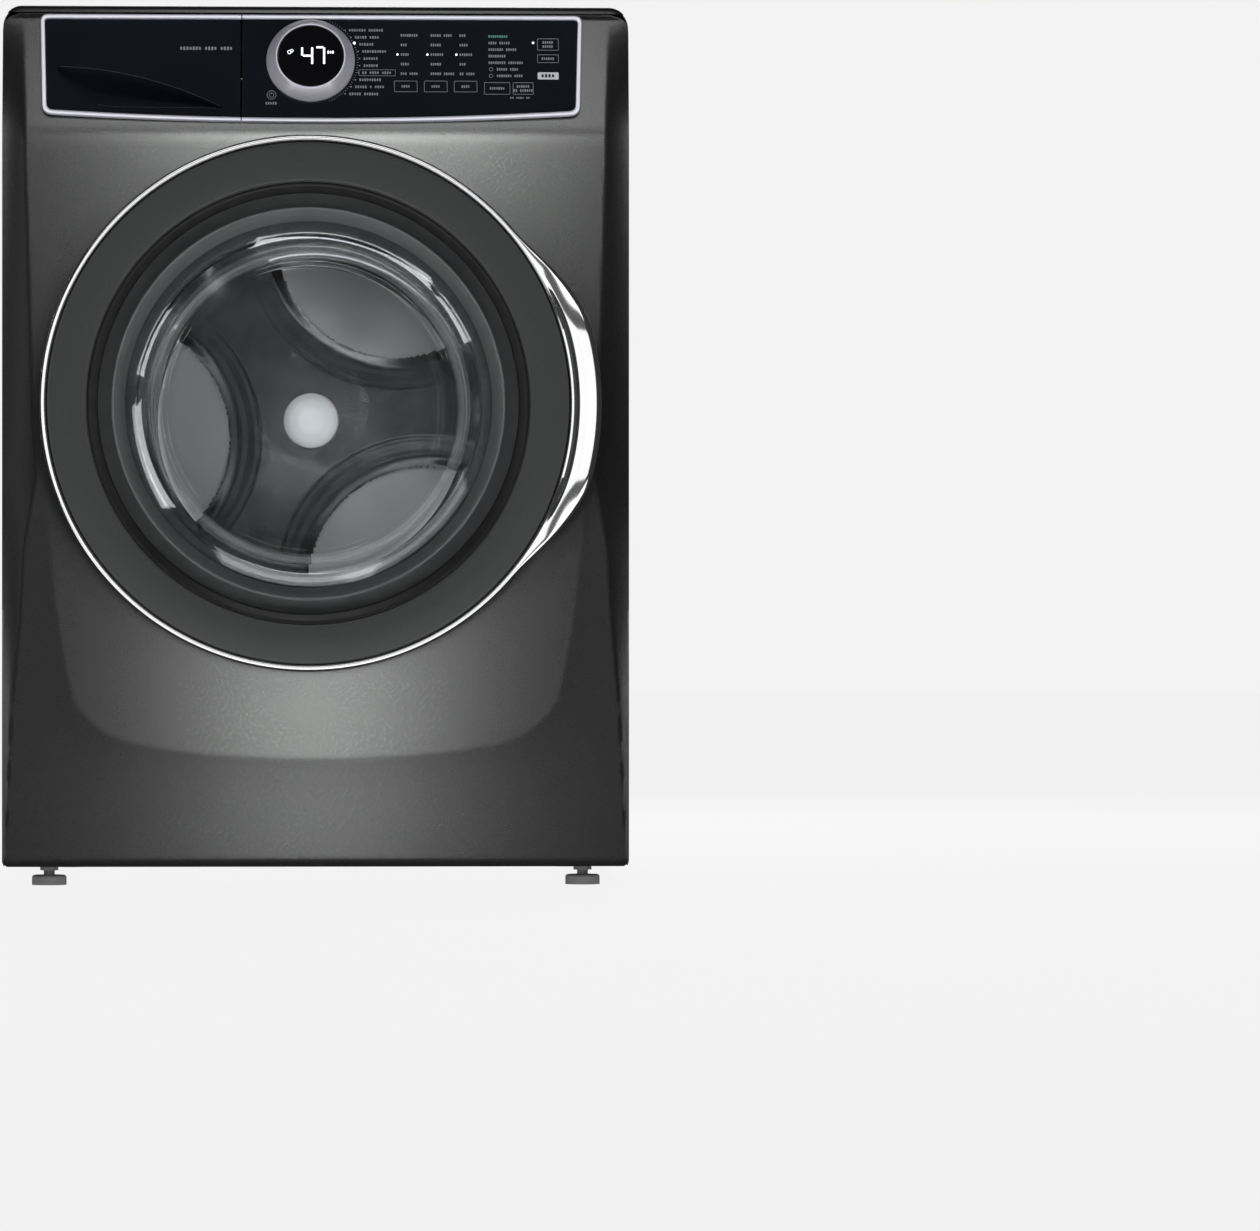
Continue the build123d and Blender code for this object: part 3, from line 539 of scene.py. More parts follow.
def drawer_front():
    """The drawer's glossy front with a finger scoop that deepens towards its upper edge, and light lines
    painted along the scoop's edges as highlights.
    """
    lower, upper = scoop_edges()
    hole = lower + upper[-2:0:-1]
    rim = half_outline(TRIM_WIDTH + 0.0003, True, 0.0009)
    face = half_outline(TRIM_WIDTH + 0.0009, True, 0.0015)
    outline = [on_face(x, z, FASCIA_FRONT) for x, z in face]
    opening = [on_face(x, z, FASCIA_FRONT) for x, z in hole]
    loops = [[Vector(p) for p in loop] for loop in (outline, opening)]
    faces = [tuple(triangle) for triangle in tessellate_polygon(loops)]
    vertices = outline + opening
    previous = list(range(len(outline)))
    for depth in (FASCIA_FRONT - 0.0007, FASCIA_BACK):
        first, count = len(vertices), len(rim)
        vertices += [on_face(x, z, depth) for x, z in rim]
        faces += [(previous[i], previous[(i + 1) % count], first + (i + 1) % count, first + i)
                  for i in range(count)]
        previous = list(range(first, first + count))
    rows, first = 14, len(vertices)
    for k, ((x0, z0), (x1, z1)) in enumerate(zip(lower, upper)):
        reach = sin(pi * min(1, (k / (len(lower) - 1)) ** 0.8)) ** 0.7
        for r in range(rows + 1):
            share = min(1, r / (rows - 2))
            drop = SCOOP_DEPTH * reach * float(smooth_step(share))
            if r > rows - 2:
                drop = SCOOP_DEPTH * reach * (rows - r) / 2
            vertices.append(on_face(x0 + (x1 - x0) * share, z0 + (z1 - z0) * share, FASCIA_FRONT - drop))
    faces += [tuple(first + i for i in f) for f in grid_faces(len(lower), rows + 1)]
    piece("drawer_face", vertices, faces, "detergent_drawer", "navy_gloss", ["drawer_front"], sharp=30)
    # Thin light lines laid along the scoop's upper and lower edges: painted highlights on those edges
    lip = Marks(FASCIA_FRONT + 0.00012)
    for line, width in ((upper[1:-1], 0.0006), (lower[12:-2], 0.0003)):
        for (x0, z0), (x1, z1) in zip(line[:-1], line[1:]):
            lip.bar((x0 + x1) / 2, (z0 + z1) / 2, hypot(x1 - x0, z1 - z0) * 1.05, width,
                    atan2(z1 - z0, x1 - x0))
    lip.make("scoop_lip", "detergent_drawer", SCOOP_EDGE_PAINTED_HIGHLIGHT)


class Marks:
    """Flat shapes on the console's face, gathered into one piece: print, lit figures, and painted
    highlight lines.
    """

    def __init__(self, out):
        self.out, self.vertices, self.faces = out, [], []

    def outline(self, points):
        start, count = len(self.vertices), len(points)
        self.vertices += [on_face(x, z, self.out) for x, z in points]
        self.vertices += [on_face(x, z, self.out - 0.0001) for x, z in points]
        self.faces.append(tuple(range(start, start + count)))
        for i in range(count):
            j = (i + 1) % count
            self.faces.append((start + i, start + j, start + count + j, start + count + i))

    def bar(self, x, z, width, height, angle=0.0):
        corners = ((-0.5, -0.5), (0.5, -0.5), (0.5, 0.5), (-0.5, 0.5))
        turned = []
        for a, b in corners:
            dx, dz = a * width, b * height
            turned.append((x + dx * cos(angle) - dz * sin(angle), z + dx * sin(angle) + dz * cos(angle)))
        self.outline(turned)

    def dot(self, x, z, radius, steps=14):
        self.outline([(x + radius * cos(2 * pi * k / steps), z + radius * sin(2 * pi * k / steps))
                      for k in range(steps)])

    def ring(self, x, z, radius, width, steps=28, start=0.0, sweep=2 * pi):
        for k in range(steps):
            angle = start + sweep * (k + 0.5) / steps
            self.bar(x + radius * cos(angle), z + radius * sin(angle),
                     width, radius * abs(sweep) / steps * 1.05, angle)

    def box(self, x, z, width, height, line):
        for side in (-1, 1):
            self.bar(x, z + side * (height - line) / 2, width, line)
            self.bar(x + side * (width - line) / 2, z, line, height)

    def words(self, x, z, lengths, pitch=0.0024, height=0.0029, centred=False):
        """A row of letter-like blocks, in words of the given lengths."""
        total = (sum(lengths) + len(lengths) - 1) * pitch
        x -= total / 2 if centred else 0
        for length in lengths:
            for k in range(length):
                tall = height * (0.82 if (k + length) % 3 == 1 else 1.0)
                self.bar(x + pitch * (k + 0.4), z, pitch * 0.62, tall)
            x += pitch * (length + 1)

    def make(self, name, body, material):
        return piece(name, self.vertices, self.faces, body, "navy_gloss", material=material)


# Word lengths of the printed lists, row by row
CYCLE_ROWS = ((7, 6), (5, 4), (6,), (10,), (6,), (6,), (2, 4, 4), (9,), (5, 1, 4), (5, 6))
CHOICES = (
    (0.0924, ((8,), (3,), (4,), (4,), (3, 4))),
    (0.1252, ((5, 4), (5,), (6,), (5,), (5, 5))),
    (0.1569, ((3,), (4,), (6,), (3,), (2, 4))),
)
OPTION_ROWS = ((4, 5), (7, 5), (8,), (8, 7), (5, 4), (7, 4))
KEY_WORDS = {
    "temperature_button": ((4,),), "soil_button": ((4,),), "spin_button": ((4,),),
    "options_button": ((7,),), "select_button": ((6,), (2, 6)), "start_pause_button": ((5,), (5,)),
    "cancel_button": ((6,),),
}


def cycle_x(z):
    """Where a row of the cycle list starts, on a curve round the dial."""
    return 0.052 - 12.5 * (z - 0.902) ** 2


def console_marks():
    """The printed lists beside the dial, with a lit dot at each choice that is set."""
    marks, lit = Marks(FASCIA_FRONT + PRINT_OUT), Marks(FASCIA_FRONT + 0.0002)
    for i, row in enumerate(CYCLE_ROWS):
        z = CYCLE_TOP - CYCLE_PITCH * i
        x = cycle_x(z)
        marks.words(x, z, row, 0.0027)
        marks.dot(x - 0.0042, z, 0.0008)
        if i == 6:
            marks.box(x + 0.0165, z, 0.040, 0.0072, 0.0004)
    lit.dot(cycle_x(0.923) - 0.0048, 0.9235, 0.0015)
    for x, rows in CHOICES:
        for i, row in enumerate(rows):
            marks.words(x, 0.9324 - 0.0108 * i, row)
        lit.dot(x - 0.0034, 0.9108, 0.0012)
    for i, row in enumerate(OPTION_ROWS):
        z = 0.9241 - 0.0074 * i
        marks.words(OPTION_X + (0.009 if i > 3 else 0), z, row)
        if i > 3:
            marks.ring(0.1915, z, 0.0019, 0.0005, 12)
    lit.dot(0.2378, 0.9245, 0.0013)
    marks.words(POWER_X - 0.0068, 0.8555, (5,), 0.0026)
    marks.words(0.212, 0.8625, (2, 4, 2), 0.0022, 0.002)
    ticks = 40
    for k in range(ticks):
        angle = -1.15 + 2.3 * k / (ticks - 1)
        marks.bar(DIAL_X + 0.0515 * cos(angle), DIAL_Z + 0.049 * sin(angle), 0.0016, 0.0004, angle)
    marks.make("console_words", "cabinet", PRINT)
    lit.make("console_lights", "cabinet", BRIGHT_PRINT)
    green = Marks(FASCIA_FRONT + PRINT_OUT)
    green.words(OPTION_X, 0.9315, (9,))
    green.make("console_green_words", "cabinet", GREEN_PRINT)
    drawer = Marks(FASCIA_FRONT + PRINT_OUT)
    drawer.words(-0.149, 0.917, (7, 4, 4), 0.0034, 0.0038)
    drawer.make("drawer_words", "detergent_drawer", PRINT)


def key_marks():
    """The light outline and letter blocks of each key, which ride on it."""
    for name, rows in KEY_WORDS.items():
        low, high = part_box(name)
        x, z = (low.x + high.x) / 2, (low.z + high.z) / 2
        width, height = high.x - low.x, high.z - low.z - KEY_DEPTH * sin(LEAN)
        marks = Marks(KEY_FRONT + PRINT_OUT)
        marks.box(x, z, width - 0.0006, height - 0.0004, 0.0005)
        for i, row in enumerate(rows):
            marks.words(x, z + ((len(rows) - 1) / 2 - i) * 0.0046, row, centred=True)
        marks.make(name + "_print", name.replace("_button", "_key"), PRINT)
    low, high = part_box("quick_dose_button")
    x, z = (low.x + high.x) / 2, (low.z + high.z) / 2
    patch = Marks(KEY_FRONT + 0.00012)
    patch.outline(soften([(x - 0.0115, z - 0.0040), (x + 0.0115, z - 0.0040),
                          (x + 0.0115, z + 0.0040), (x - 0.0115, z + 0.0040)], 0.0012))
    patch.make("quick_dose_patch", "quick_dose_key", BRIGHT_PATCH)
    words = Marks(KEY_FRONT + 0.0003)
    words.words(x, z, (4,), 0.0038, 0.0038, centred=True)
    words.make("quick_dose_print", "quick_dose_key", DARK_PRINT)
    power = Marks(KEY_FRONT + PRINT_OUT)
    power.ring(POWER_X, POWER_Z, 0.0048, 0.0005)
    power.ring(POWER_X, POWER_Z, 0.0025, 0.0005, 16, pi / 2 + 0.5, 2 * pi - 1.0)
    power.bar(POWER_X, POWER_Z + 0.0022, 0.0005, 0.0026)
    power.make("power_print", "power_key", PRINT)


def dial_lathe(name, profile, body, replaces, slot, steps=160):
    """A (radius, height) outline turned about the dial's axis, which leans with the console."""
    base = Vector(on_face(DIAL_X, DIAL_Z, 0))
    out = Vector((0, -cos(LEAN), sin(LEAN)))
    up = Vector((0, sin(LEAN), cos(LEAN)))
    vertices = []
    for k in range(steps):
        angle = 2 * pi * k / steps
        spoke = Vector((cos(angle), 0, 0)) + up * sin(angle)
        vertices += [base + spoke * radius + out * height for radius, height in profile]
    return piece(name, vertices, grid_faces(steps, len(profile), True, True), body, slot, replaces)


def dial():
    """The dial's turned ring, and the fixed window inside it."""
    ring = soften([(0.030, 0.0025), (0.0485, 0.0025), (0.0485, 0.0048), (0.0462, 0.0078),
                   (0.0385, 0.0176), (0.0372, 0.018), (0.0364, 0.0176), (0.0364, 0.0137),
                   (0.030, 0.0137)], 0.0012)
    dial_lathe("dial_ring_turned", ring, "dial", ["dial_ring"], "lavender_chrome")
    window = soften([(0.0299, -0.008), (0.0299, 0.014), (0.0361, 0.014), (0.0361, 0.0165),
                     (0.0355, 0.0172), (0, WINDOW_FRONT), (0, -0.008)], 0.0006)
    dial_lathe("display_window_turned", window, "cabinet", ["display_window"], "black_gloss")


# name: (side, level, whether it lies flat)
SEGMENTS = {
    "a": (0, 1, True), "g": (0, 0, True),
    "b": (1, 0.5, False), "c": (1, -0.5, False), "f": (-1, 0.5, False),
}
DIGITS = {"4": "fgbc", "7": "abc"}


def digit(marks, x, z, width, height, which):
    """A seven-segment digit."""
    thick = 0.0021
    for segment in DIGITS[which]:
        side, level, flat = SEGMENTS[segment]
        dx, dz = side * width / 2, level * height / 2
        if flat:
            marks.bar(x + dx, z + dz, width - thick, thick)
        else:
            marks.bar(x + dx, z + dz, thick, height / 2 - 0.0006)


def display_marks():
    """The lit figures in the display window."""
    marks = Marks(WINDOW_FRONT + PRINT_OUT)
    digit(marks, DIAL_X - 0.0038, DIAL_Z, 0.0110, 0.0190, "4")
    digit(marks, DIAL_X + 0.0100, DIAL_Z, 0.0095, 0.0190, "7")
    marks.words(DIAL_X + 0.0182, DIAL_Z + 0.004, (3,), 0.0026, 0.0030)
    marks.ring(DIAL_X - 0.0232, DIAL_Z + 0.004, 0.0019, 0.0006, 16)
    marks.ring(DIAL_X - 0.0205, DIAL_Z + 0.0055, 0.0015, 0.0005, 14)
    marks.make("display_digits", "cabinet", BRIGHT_PRINT)


# ---- door


def door_trim():
    """The chrome ring, whose section swells into the broad handle on the free side."""
    ring = [(TRIM_INNER, -0.384), (TRIM_INNER, -0.3915), (0.2850, -0.3942), (0.2858, -0.3957),
            (0.2868, -0.3962), (0.2878, -0.3963), (0.2884, -0.3963), (0.2890, -0.3963),
            (0.2897, -0.3961), (0.2905, -0.3956), (0.2912, -0.3946), (0.2918, -0.3925),
            (TRIM_OUTER, -0.389), (TRIM_OUTER, -0.384)]
    handle = [(0.2850, -0.384), (0.2850, -0.3935), (0.2854, -0.3953), (0.2864, -0.3960),
              (0.2885, -0.3961), (0.2902, -0.3985), (0.2930, -0.4045), (0.2952, HANDLE_FRONT),
              (0.3030, -0.4056), (0.3110, -0.4046), (0.3168, -0.4032), (HANDLE_OUTER - 0.0006, -0.4000),
              (HANDLE_OUTER - 0.0006, -0.3945), (0.3080, -0.3895)]
    steps, vertices = 900, []
    for k in range(steps):
        angle = 2 * pi * k / steps
        off = min(angle, 2 * pi - angle)
        wide = float(smooth_step((HANDLE_END - off) / (HANDLE_END - HANDLE_FULL)))
        tall = float(smooth_step((HANDLE_LOW - off) / (HANDLE_LOW - HANDLE_FULL)))
        for (r0, y0), (r1, y1) in zip(ring, handle):
            vertices.append(around_axis(r0 + (r1 - r0) * wide, y0 + (y1 - y0) * tall, angle))
    faces = grid_faces(steps, len(ring), True, True)
    piece("door_trim_sculpted", vertices, faces, "door", "chrome", ["door_trim_ring"], sharp=50)


def door_rings():
    """The door's outer ring with its hinge notch, the dark bezel and the ring behind the glass."""
    outer = soften([(0.2402, -0.3868), (0.2425, -0.3893), (0.262, -0.3912), (0.2815, -0.3921),
                    (0.2838, -0.3910), (0.2842, -0.3838), (0.2915, -0.3837),
                    (0.2915, -0.372), (0.2842, -0.3543), (0.281, -0.3543), (0.2883, -0.3715),
                    (0.2883, -0.3807), (0.281, -0.3807), (0.281, -0.389), (0.268, -0.390),
                    (0.251, -0.387), (0.2432, -0.384), (0.2432, -0.374), (0.2402, -0.374)], 0.0025, 4)
    ring = lathe("door_ring_turned", outer, None, "dark_satin")
    notch = block((-0.320, -0.3805, 0.483), (-0.265, -0.340, 0.571))
    cut(ring, piece("hinge_notch", *notch, None, "dark_satin"))
    ring.data.set_sharp_from_angle(angle=radians(35))
    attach(ring, "door")
    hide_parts("door_outer_ring")
    bezel = soften([(0.2398, -0.3862), (0.2370, -0.3858), (0.2300, -0.3812), (0.2286, -0.3796),
                    (0.2286, -0.376), (0.2398, -0.376)], 0.0008, 4)
    lathe("door_bezel_turned", bezel, "door", "black_plastic", ["door_bezel"])
    frame_ring = soften([(0.2115, -0.3723), (0.2145, -0.3723), (0.2045, -0.341), (0.2065, -0.3372),
                         (0.2415, -0.339), (0.252, -0.351), (0.252, -0.3723), (0.255, -0.3723),
                         (0.255, -0.350), (0.243, -0.336), (0.205, -0.334), (0.200, -0.341)], 0.002, 4)
    lathe("door_inner_frame_turned", frame_ring, "door", "grey_plastic", ["door_inner_frame"])


def glass_bowl():
    """Moulded glass with a ridged rim, a slanting wall and a softly domed end."""
    back = [(0.228, -0.373), (0.209, -0.373), (0.204, -0.366), (0.1865, -0.330), (0.1825, -0.3165),
            (0.1775, -0.313), (0.170, -0.246), (0.163, -0.226), (0.146, -0.2155), (0.090, -0.2115),
            (0, -0.210)]
    front = [(0, -0.215), (0.090, -0.2165), (0.142, -0.2205), (0.157, -0.230), (0.1645, -0.248),
             (0.1740, -0.3155), (0.1760, -0.3195), (0.1785, -0.3215), (0.1815, -0.331), (0.199, -0.368),
             (0.2035, -0.3745), (0.2065, -0.3785), (0.2105, -0.3772), (0.2135, -0.3786),
             (0.2175, -0.3774), (0.2205, -0.3786), (0.228, -0.3785)]
    profile = soften(back, 0.008, 6, False) + soften(front, 0.006, 5, False)
    lathe("glass_bowl_moulded", profile, "door", "glass", ["glass_bowl"], steps=320, sharp=60)


def door_gasket():
    """The rubber bellows between the front panel and the tub."""
    folds = soften([(0.204, -0.3238), (0.190, -0.3238), (0.1887, -0.316), (0.205, -0.302),
                    (0.195, -0.288), (0.213, -0.273), (0.213, -0.247)], 0.006, 6, False)
    half = 0.0014
    sides = ([], [])
    for i, (r, y) in enumerate(folds):
        (r0, y0), (r1, y1) = folds[max(i - 1, 0)], folds[min(i + 1, len(folds) - 1)]
        length = hypot(r1 - r0, y1 - y0) or 1
        nr, ny = (y1 - y0) / length * half, -(r1 - r0) / length * half
        sides[0].append((r + nr, y + ny))
        sides[1].append((r - nr, y - ny))
    bellows = lathe("gasket_bellows", sides[0] + sides[1][::-1], None, "grey_rubber", sharp=60)
    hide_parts("door_gasket")
    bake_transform(bellows)
    nozzle = block((AXIS_X - 0.0078, -0.314, AXIS_Z + 0.1875),
                   (AXIS_X + 0.0078, -0.300, AXIS_Z + 0.1985), 0.0018)
    piece("spray_nozzle", *nozzle, "cabinet", "grey_plastic")


# ---- drum


def drum_wall():
    """The rolled wall with its wash holes, as one sheet of cells with an eight-sided hole in each."""
    radius = DRUM_OUTER - 0.001
    columns, rows, hole = 132, 38, 0.0019
    start, end = DRUM_FRONT_Y + 0.004, 0.2385
    corner = [around_axis(radius, start + (end - start) * r / rows, 2 * pi * c / columns)
              for r in range(rows + 1) for c in range(columns)]
    vertices, faces = list(corner), []
    for r in range(rows):
        for c in range(columns):
            right, next_row = (c + 1) % columns, (r + 1) * columns
            ring = (r * columns + c, r * columns + right, next_row + right, next_row + c)
            if (r + c) % 2 or r % 10 == 9 or c % 11 == 10:
                faces.append(ring)
                continue
            y, angle = start + (end - start) * (r + 0.5) / rows, 2 * pi * (c + 0.5) / columns
            first = len(vertices)
            for k in range(8):
                turn = pi * (k + 0.5) / 4 + pi
                vertices.append(around_axis(radius, y + hole * sin(turn),
                                            angle + hole * cos(turn) / radius))
            for k in range(4):
                a, b, d = first + 2 * k, first + (2 * k + 1) % 8, first + (2 * k - 1) % 8
                faces.append((ring[k], ring[(k + 1) % 4], b, a))
                faces.append((ring[k], a, d))
    piece("drum_wall_perforated", vertices, faces, "drum", "stainless", ["drum_shell"])
    lathe("drum_mouth", soften([
        (0.2799, DRUM_FRONT_Y + 0.005), (0.2799, -0.216), (0.274, -0.224), (0.197, -0.227),
        (0.190, -0.220), (0.1912, -0.2192), (0.1976, -0.2254), (0.2733, -0.2225),
        (0.2785, -0.2153), (0.2785, DRUM_FRONT_Y + 0.005),
    ], 0.004, 4), "drum", "stainless")


def nearest_pocket(radius, angle):
    """Distance in from the edge of the nearest stamped pocket, and how far out along its middle."""
    places = []
    for arm in ARMS:
        turn = angle - arm - pi / 3
        across, along = radius * sin(turn), radius * cos(turn)
        inside = min(POCKET_RADIUS - hypot(along - POCKET_CENTRE, across), POCKET_REACH - radius)
        places.append((inside, along))
    return max(places)


def stamp_depth(radius, angle):
    """How far the drum's back is stamped down between the three arms, in soft steps."""
    inside, along = nearest_pocket(radius, angle)
    floor = 0.0015 + 0.0095 * min(1, max(0, (along - 0.070) / 0.120))
    # (depth, where the step starts in from the pocket's edge, its width)
    steps = ((0.001, 0, 0.003), (0.0015, 0.004, 0.016), (floor, 0.020, 0.020))
    return sum(depth * float(smooth_step((inside - start) / width)) for depth, start, width in steps)


def drum_back():
    """The stamped back wall, the satin floors of its three pockets, and the hub cap."""
    rings, steps, inner, outer = 110, 360, 0.012, DRUM_OUTER - 0.002
    vertices, on_floor = [], []
    for r in range(rings):
        radius = inner + (outer - inner) * r / (rings - 1)
        roll = RIM_ROLL * float(smooth_step((radius - (outer - RIM_WIDTH)) / RIM_WIDTH))
        for k in range(steps):
            angle = 2 * pi * k / steps
            y = DRUM_BACK_Y + stamp_depth(radius, angle) + roll
            vertices.append(around_axis(radius, y, angle))
            on_floor.append(nearest_pocket(radius, angle)[0] > POCKET_WALL)
    faces = grid_faces(rings, steps, False, True)
    walls = [face for face in faces if not all(on_floor[i] for i in face)]
    floors = [face for face in faces if all(on_floor[i] for i in face)]
    piece("drum_back_stamped", vertices, walls, "drum", "stainless", ["drum_rear"], sharp=60)
    satin = finish_surface("satin_stainless", (0.53, 0.535, 0.53), 0.5, 1.0, 0.06, 14)
    piece("drum_pocket_floors", vertices, floors, "drum", "stainless", material=satin, sharp=60)
    cap = soften([(0, 0.2145), (0.015, 0.2150), (0.026, 0.2175), (0.0318, 0.2215), (0.033, 0.2257),
                  (0, 0.2257)], 0.003, 5, False)
    lathe("hub_cap_turned", cap, "drum", "white_plastic", ["hub_cap"], steps=96)


def drum_lifters():
    """Three hollow paddles with a rounded crest and sloped ends."""
    section = soften([(-0.034, LIFTER_FOOT), (-0.013, 0.193), (0.013, 0.193), (0.034, LIFTER_FOOT)],
                     0.012, 7, False)
    # (y, width share, height share)
    stations = ((-0.195, 1.0, 0.0), (-0.190, 0.75, 0.55), (-0.175, 0.9, 0.95), (-0.150, 1.0, 1.0),
                (0.170, 1.0, 1.0), (0.205, 0.95, 0.93), (0.222, 0.9, 0.6))
    vertices, faces = [], []
    for arm in ARMS:
        first = len(vertices)
        for y, narrow, tall in stations:
            for across, radius in section:
                r = LIFTER_FOOT - (LIFTER_FOOT - radius) * tall
                across *= narrow
                vertices.append((AXIS_X + r * cos(arm) - across * sin(arm), y,
                                 AXIS_Z + r * sin(arm) + across * cos(arm)))
        count = len(section)
        faces += [tuple(first + i for i in f) for f in grid_faces(len(stations), count)]
        faces.append(tuple(first + i for i in range(count)))
        faces.append(tuple(first + (len(stations) - 1) * count + i for i in range(count)))
    piece("drum_lifters_moulded", vertices, faces, "drum", "stainless", ["drum_lifters"], sharp=45)


def sprung_pieces():
    """The tub's springs and the sump hose between the cabinet and the tub, copied from the CAD model with
    the finish of their slots.
    """
    for node, slot, cabinet_end, tub_end in (("tub_springs", "zinc", 0.932, 0.791),
                                             ("sump_hose", "black_rubber", 0.110, 0.198)):
        mesh = frame["nodes"][node].data
        vertices = [tuple(v.co) for v in mesh.vertices]
        faces = [tuple(face.vertices) for face in mesh.polygons]
        thing = piece(node + "_flexed", vertices, faces, None, slot)
        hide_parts(node)
        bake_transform(thing)


# ---- the rest of the CAD model


def finish_cad_nodes():
    """Every carried-over node takes the finish of its own material slot."""
    slots = {s["node"]: s["material_slot"] for s in frame["record"]["subparts"]}
    for node, thing in frame["nodes"].items():
        thing.data.materials.clear()
        thing.data.materials.append(MATERIALS[slots[node]])


# ---- studio


def area_light(name, place, aim, size, power, lit=None, spin=None):
    """A soft card of light, hidden from the camera, that may light only some pieces.

    With spin, its long side lies across a spoke at that angle about the drum's axis.
    """
    lamp = bpy.data.lights.new(name, "AREA")
    lamp.shape = "RECTANGLE"
    lamp.size, lamp.size_y = size
    lamp.energy = power
    thing = new_object(name, lamp)
    thing.location = place
    thing.rotation_euler = (Vector(aim) - Vector(place)).to_track_quat("-Z", "Y").to_euler()
    if spin is not None:
        across = Vector((-sin(spin), 0, cos(spin)))
        away = (Vector(place) - Vector(aim)).normalized()
        thing.rotation_euler = Matrix((across, away.cross(across), away)).transposed().to_euler()
    thing.visible_camera = False
    if lit:
        group = bpy.data.collections.new(name + "_lights")
        for receiver in lit:
            group.objects.link(receiver)
        thing.light_linking.receiver_collection = group


def stage_material(name, shade, glow):
    """A matt surface that mostly shines by itself, so that the lamps hardly mark it."""
    material = finish_surface(name, (shade, shade, shade), 0.9, vary=0.01, scale=2)
    set_inputs(add_glow(material, (1, 1, 1), glow), Specular_IOR_Level=0)
    return material


def studio_air():
    """Dim air with a soft ring of light round the line of sight, for the polished drum."""
    world = bpy.data.worlds.new("studio_air")
    bpy.context.scene.world = world
    world.use_nodes = True
    tree = world.node_tree
    place, split = new_node(tree, "TexCoord"), new_node(tree, "SeparateXYZ")
    turned, ramp = new_node(tree, "Math"), new_node(tree, "ValToRGB")
    tree.links.new(place.outputs["Generated"], split.inputs["Vector"])
    turned.operation = "MULTIPLY"
    turned.inputs[1].default_value = -1
    tree.links.new(split.outputs["Y"], turned.inputs[0])
    tree.links.new(turned.outputs["Value"], ramp.inputs["Fac"])
    stops = ramp.color_ramp.elements
    # (degrees off the line of sight, brightness)
    for degrees, glow in ((38, 0.035), (28, 0.10), (9, 0.10), (4.5, 0.05)):
        stop = stops.new(cos(radians(degrees)))
        stop.color = (glow, glow, glow * 1.02, 1)
    stops[0].color = (0.03, 0.03, 0.03, 1)
    stops[-1].color = (0.06, 0.06, 0.06, 1)
    tree.links.new(ramp.outputs["Color"], tree.nodes["Background"].inputs["Color"])


def lit_group(*slots):
    """The pieces that carry the finishes of some material slots."""
    wanted = [MATERIALS[slot] for slot in slots]
    return [thing for thing in bpy.data.objects
            if thing.type == "MESH" and thing.data.materials and thing.data.materials[0] in wanted]


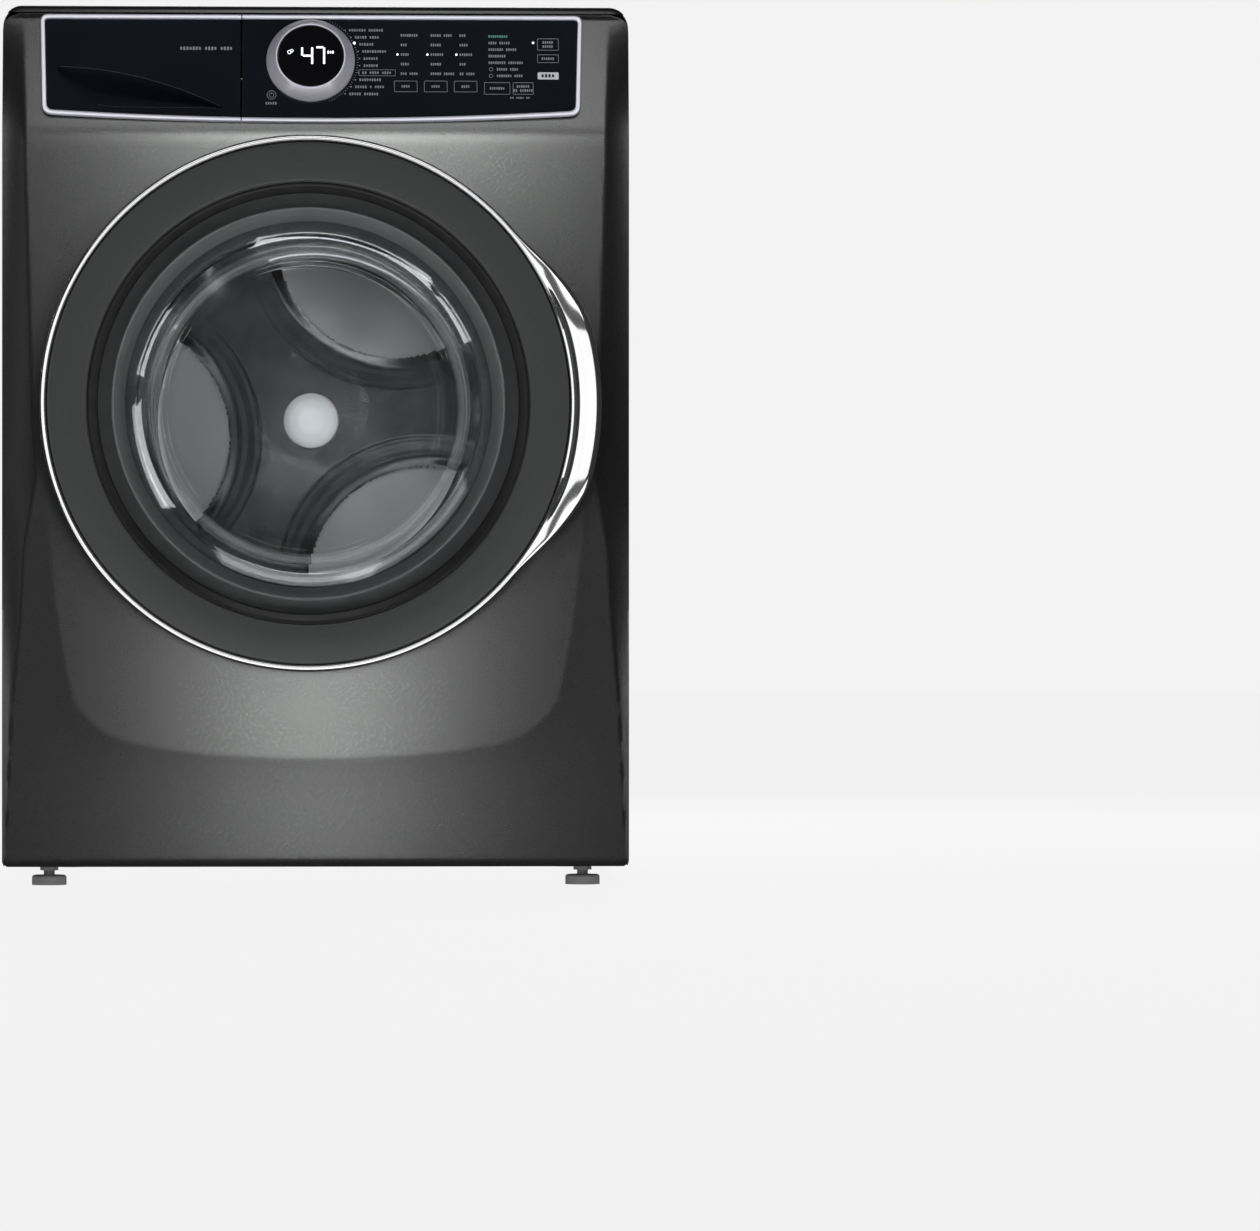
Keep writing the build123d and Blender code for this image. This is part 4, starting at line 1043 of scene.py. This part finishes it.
def stage():
    """The pale floor and backdrop, and the lamps, most of which light one group of finishes."""
    corners = [(x * FLOOR_HALF, y * FLOOR_HALF, 0) for x, y in ((-1, -1), (1, -1), (1, 1), (-1, 1))]
    floor = piece("studio_floor", corners, [(0, 1, 2, 3)], None, "white_plastic",
                  material=stage_material("pale_floor", 0.12, 0.88))
    shape = bmesh.new()
    bmesh.ops.create_uvsphere(shape, u_segments=48, v_segments=24, radius=DOME_RADIUS)
    mesh = bpy.data.meshes.new("studio_backdrop")
    shape.to_mesh(mesh)
    shape.free()
    dome = new_object("studio_backdrop", mesh)
    mesh.materials.append(stage_material("pale_backdrop", 0.01, 0.89))
    dome.visible_diffuse = dome.visible_glossy = dome.visible_transmission = dome.visible_shadow = False
    floor.visible_glossy = False
    studio_air()
    paint, bright = lit_group("painted_dark"), lit_group("chrome", "lavender_chrome")
    lid = [frame["nodes"]["top_panel"]]
    front = [thing for thing in paint if thing not in lid]
    gloss = lit_group("navy_gloss", "black_gloss")
    hub = [bpy.data.objects["hub_cap_turned"]]
    drum = lit_group("stainless")
    pockets = [bpy.data.objects["drum_pocket_floors"]]
    glass = lit_group("glass")
    rest = [thing for thing in lit_group(*MATERIALS) if thing not in paint + bright + gloss + glass]
    # Each card is a place, an aim and a size; each lamp is a group, a name, a card and its watts
    high_card = (0.04, -1.45, 1.05), (0.02, -0.35, 0.8), (0.45, 0.3)
    right_card = (1.45, -1.75, 0.6), (0.1, -0.35, 0.5), (0.7, 1.5)
    left_card = (-1.45, -1.75, 0.6), (-0.1, -0.35, 0.5), (0.6, 1.5)
    inside = (AXIS_X, 0.2, AXIS_Z)
    for group, name, place, aim, size, power in (
        (front, "paint_low", (0, -1.30, 0.21), (0, -0.35, 0.21), (0.16, 0.4), 1.75),
        (front, "paint_high", *high_card, 4.6),
        (front, "paint_top", (0.05, -1.35, 1.68), (0, -0.33, 0.86), (0.9, 0.3), 3.0),
        (paint, "paint_left", (-1.6, -0.9, 0.6), (-0.3, -0.3, 0.5), (0.5, 1.2), 0.4),
        (bright, "bright_card", (0, -2.35, 0.53), (0, -0.35, 0.53), (3.6, 0.95), 11.0),
        (bright, "bright_high", (0, -2.1, 1.75), (0, -0.35, 0.6), (3.0, 0.5), 6.0),
        (bright, "bright_console", (0, -1.8, 2.16), (0, -0.33, 0.9), (2.0, 0.7), 4.4),
        (bright, "bright_low", (0, -0.95, 0.03), (0, -0.35, 0.5), (2.2, 0.3), 3.0),
        (rest, "right_card", *right_card, 3.0),
        (rest, "left_card", *left_card, 3.0),
        (rest, "top_card", (0, -1.3, 2.3), (0, -0.3, 0.5), (1.5, 0.6), 5.0),
        (rest, "low_card", (0, -1.35, 0.03), (0, -0.35, 0.5), (1.0, 0.3), 2.5),
        (gloss, "gloss_card", (-1.0, -1.3, 2.0), (0, -0.3, 0.9), (0.5, 0.5), 2.0),
        (drum, "drum_lamp", (-0.45, -1.30, 1.05), inside, (0.5, 0.5), 0.9),
        (pockets, "pocket_lamp", (0.14, -1.2, 0.74), inside, (0.3, 0.3), 4.2),
        (hub, "hub_lamp", (-0.3, -1.30, 0.9), inside, (0.4, 0.4), 40.0),
        (glass, "rim_card_right", *right_card, 0.9),
        (glass, "rim_card_left", *left_card, 0.9),
        (paint, "side_card_right", (2.4, 1.6, 1.3), (0.34, 0.0, 0.5), (1.2, 1.2), 120.0),
        (paint, "side_card_left", (-2.4, 1.6, 1.3), (-0.34, 0.0, 0.5), (1.2, 1.2), 120.0),
        (lid, "lid_front", *high_card, 1.2),
        (None, "lid_card", (0.0, 1.3, 3.0), (0.0, 0.1, 0.96), (1.2, 0.8), 7.0),
        (None, "back_softbox", (0.5, 2.8, 2.2), (0, 0.3, 0.5), (2.0, 1.4), 30.0),
    ):
        area_light(name, place, aim, size, power, group)
    # (degrees round the bowl, length, watts)
    for degrees, length, power in ((74, 0.090, 0.05), (166, 0.030, 0.012), (207, 0.040, 0.016),
                                   (22, 0.022, 0.010), (303, 0.050, 0.005), (268, 0.050, 0.008)):
        turn = radians(degrees)
        place, aim = around_axis(-0.06, -0.14, turn), around_axis(0.19, -0.35, turn)
        area_light("bowl_glint", place, aim, (length, 0.018), power, glass, turn)


def camera():
    """The camera at the photograph's place, with a lens that gives its framing."""
    lens = bpy.data.cameras.new("camera")
    lens.sensor_width = 36
    place, aim = Vector((CAMERA_X, PLATEAU - CAMERA_AWAY, CAMERA_Z)), Vector((AIM_X, PLATEAU, AIM_Z))
    lens.lens = 36 * (aim - place).length / FRAME_WIDTH
    lens.clip_end = 100
    thing = new_object("camera", lens)
    thing.location = place
    thing.rotation_euler = (aim - place).to_track_quat("-Z", "Y").to_euler()
    bpy.context.scene.camera = thing
    bpy.context.scene.view_settings.view_transform = "Standard"


finish_cad_nodes()
front_panel()
console_frames()
drawer_front()
console_marks()
key_marks()
dial()
display_marks()
door_trim()
door_rings()
glass_bowl()
door_gasket()
drum_wall()
drum_back()
drum_lifters()
sprung_pieces()
stage()
camera()
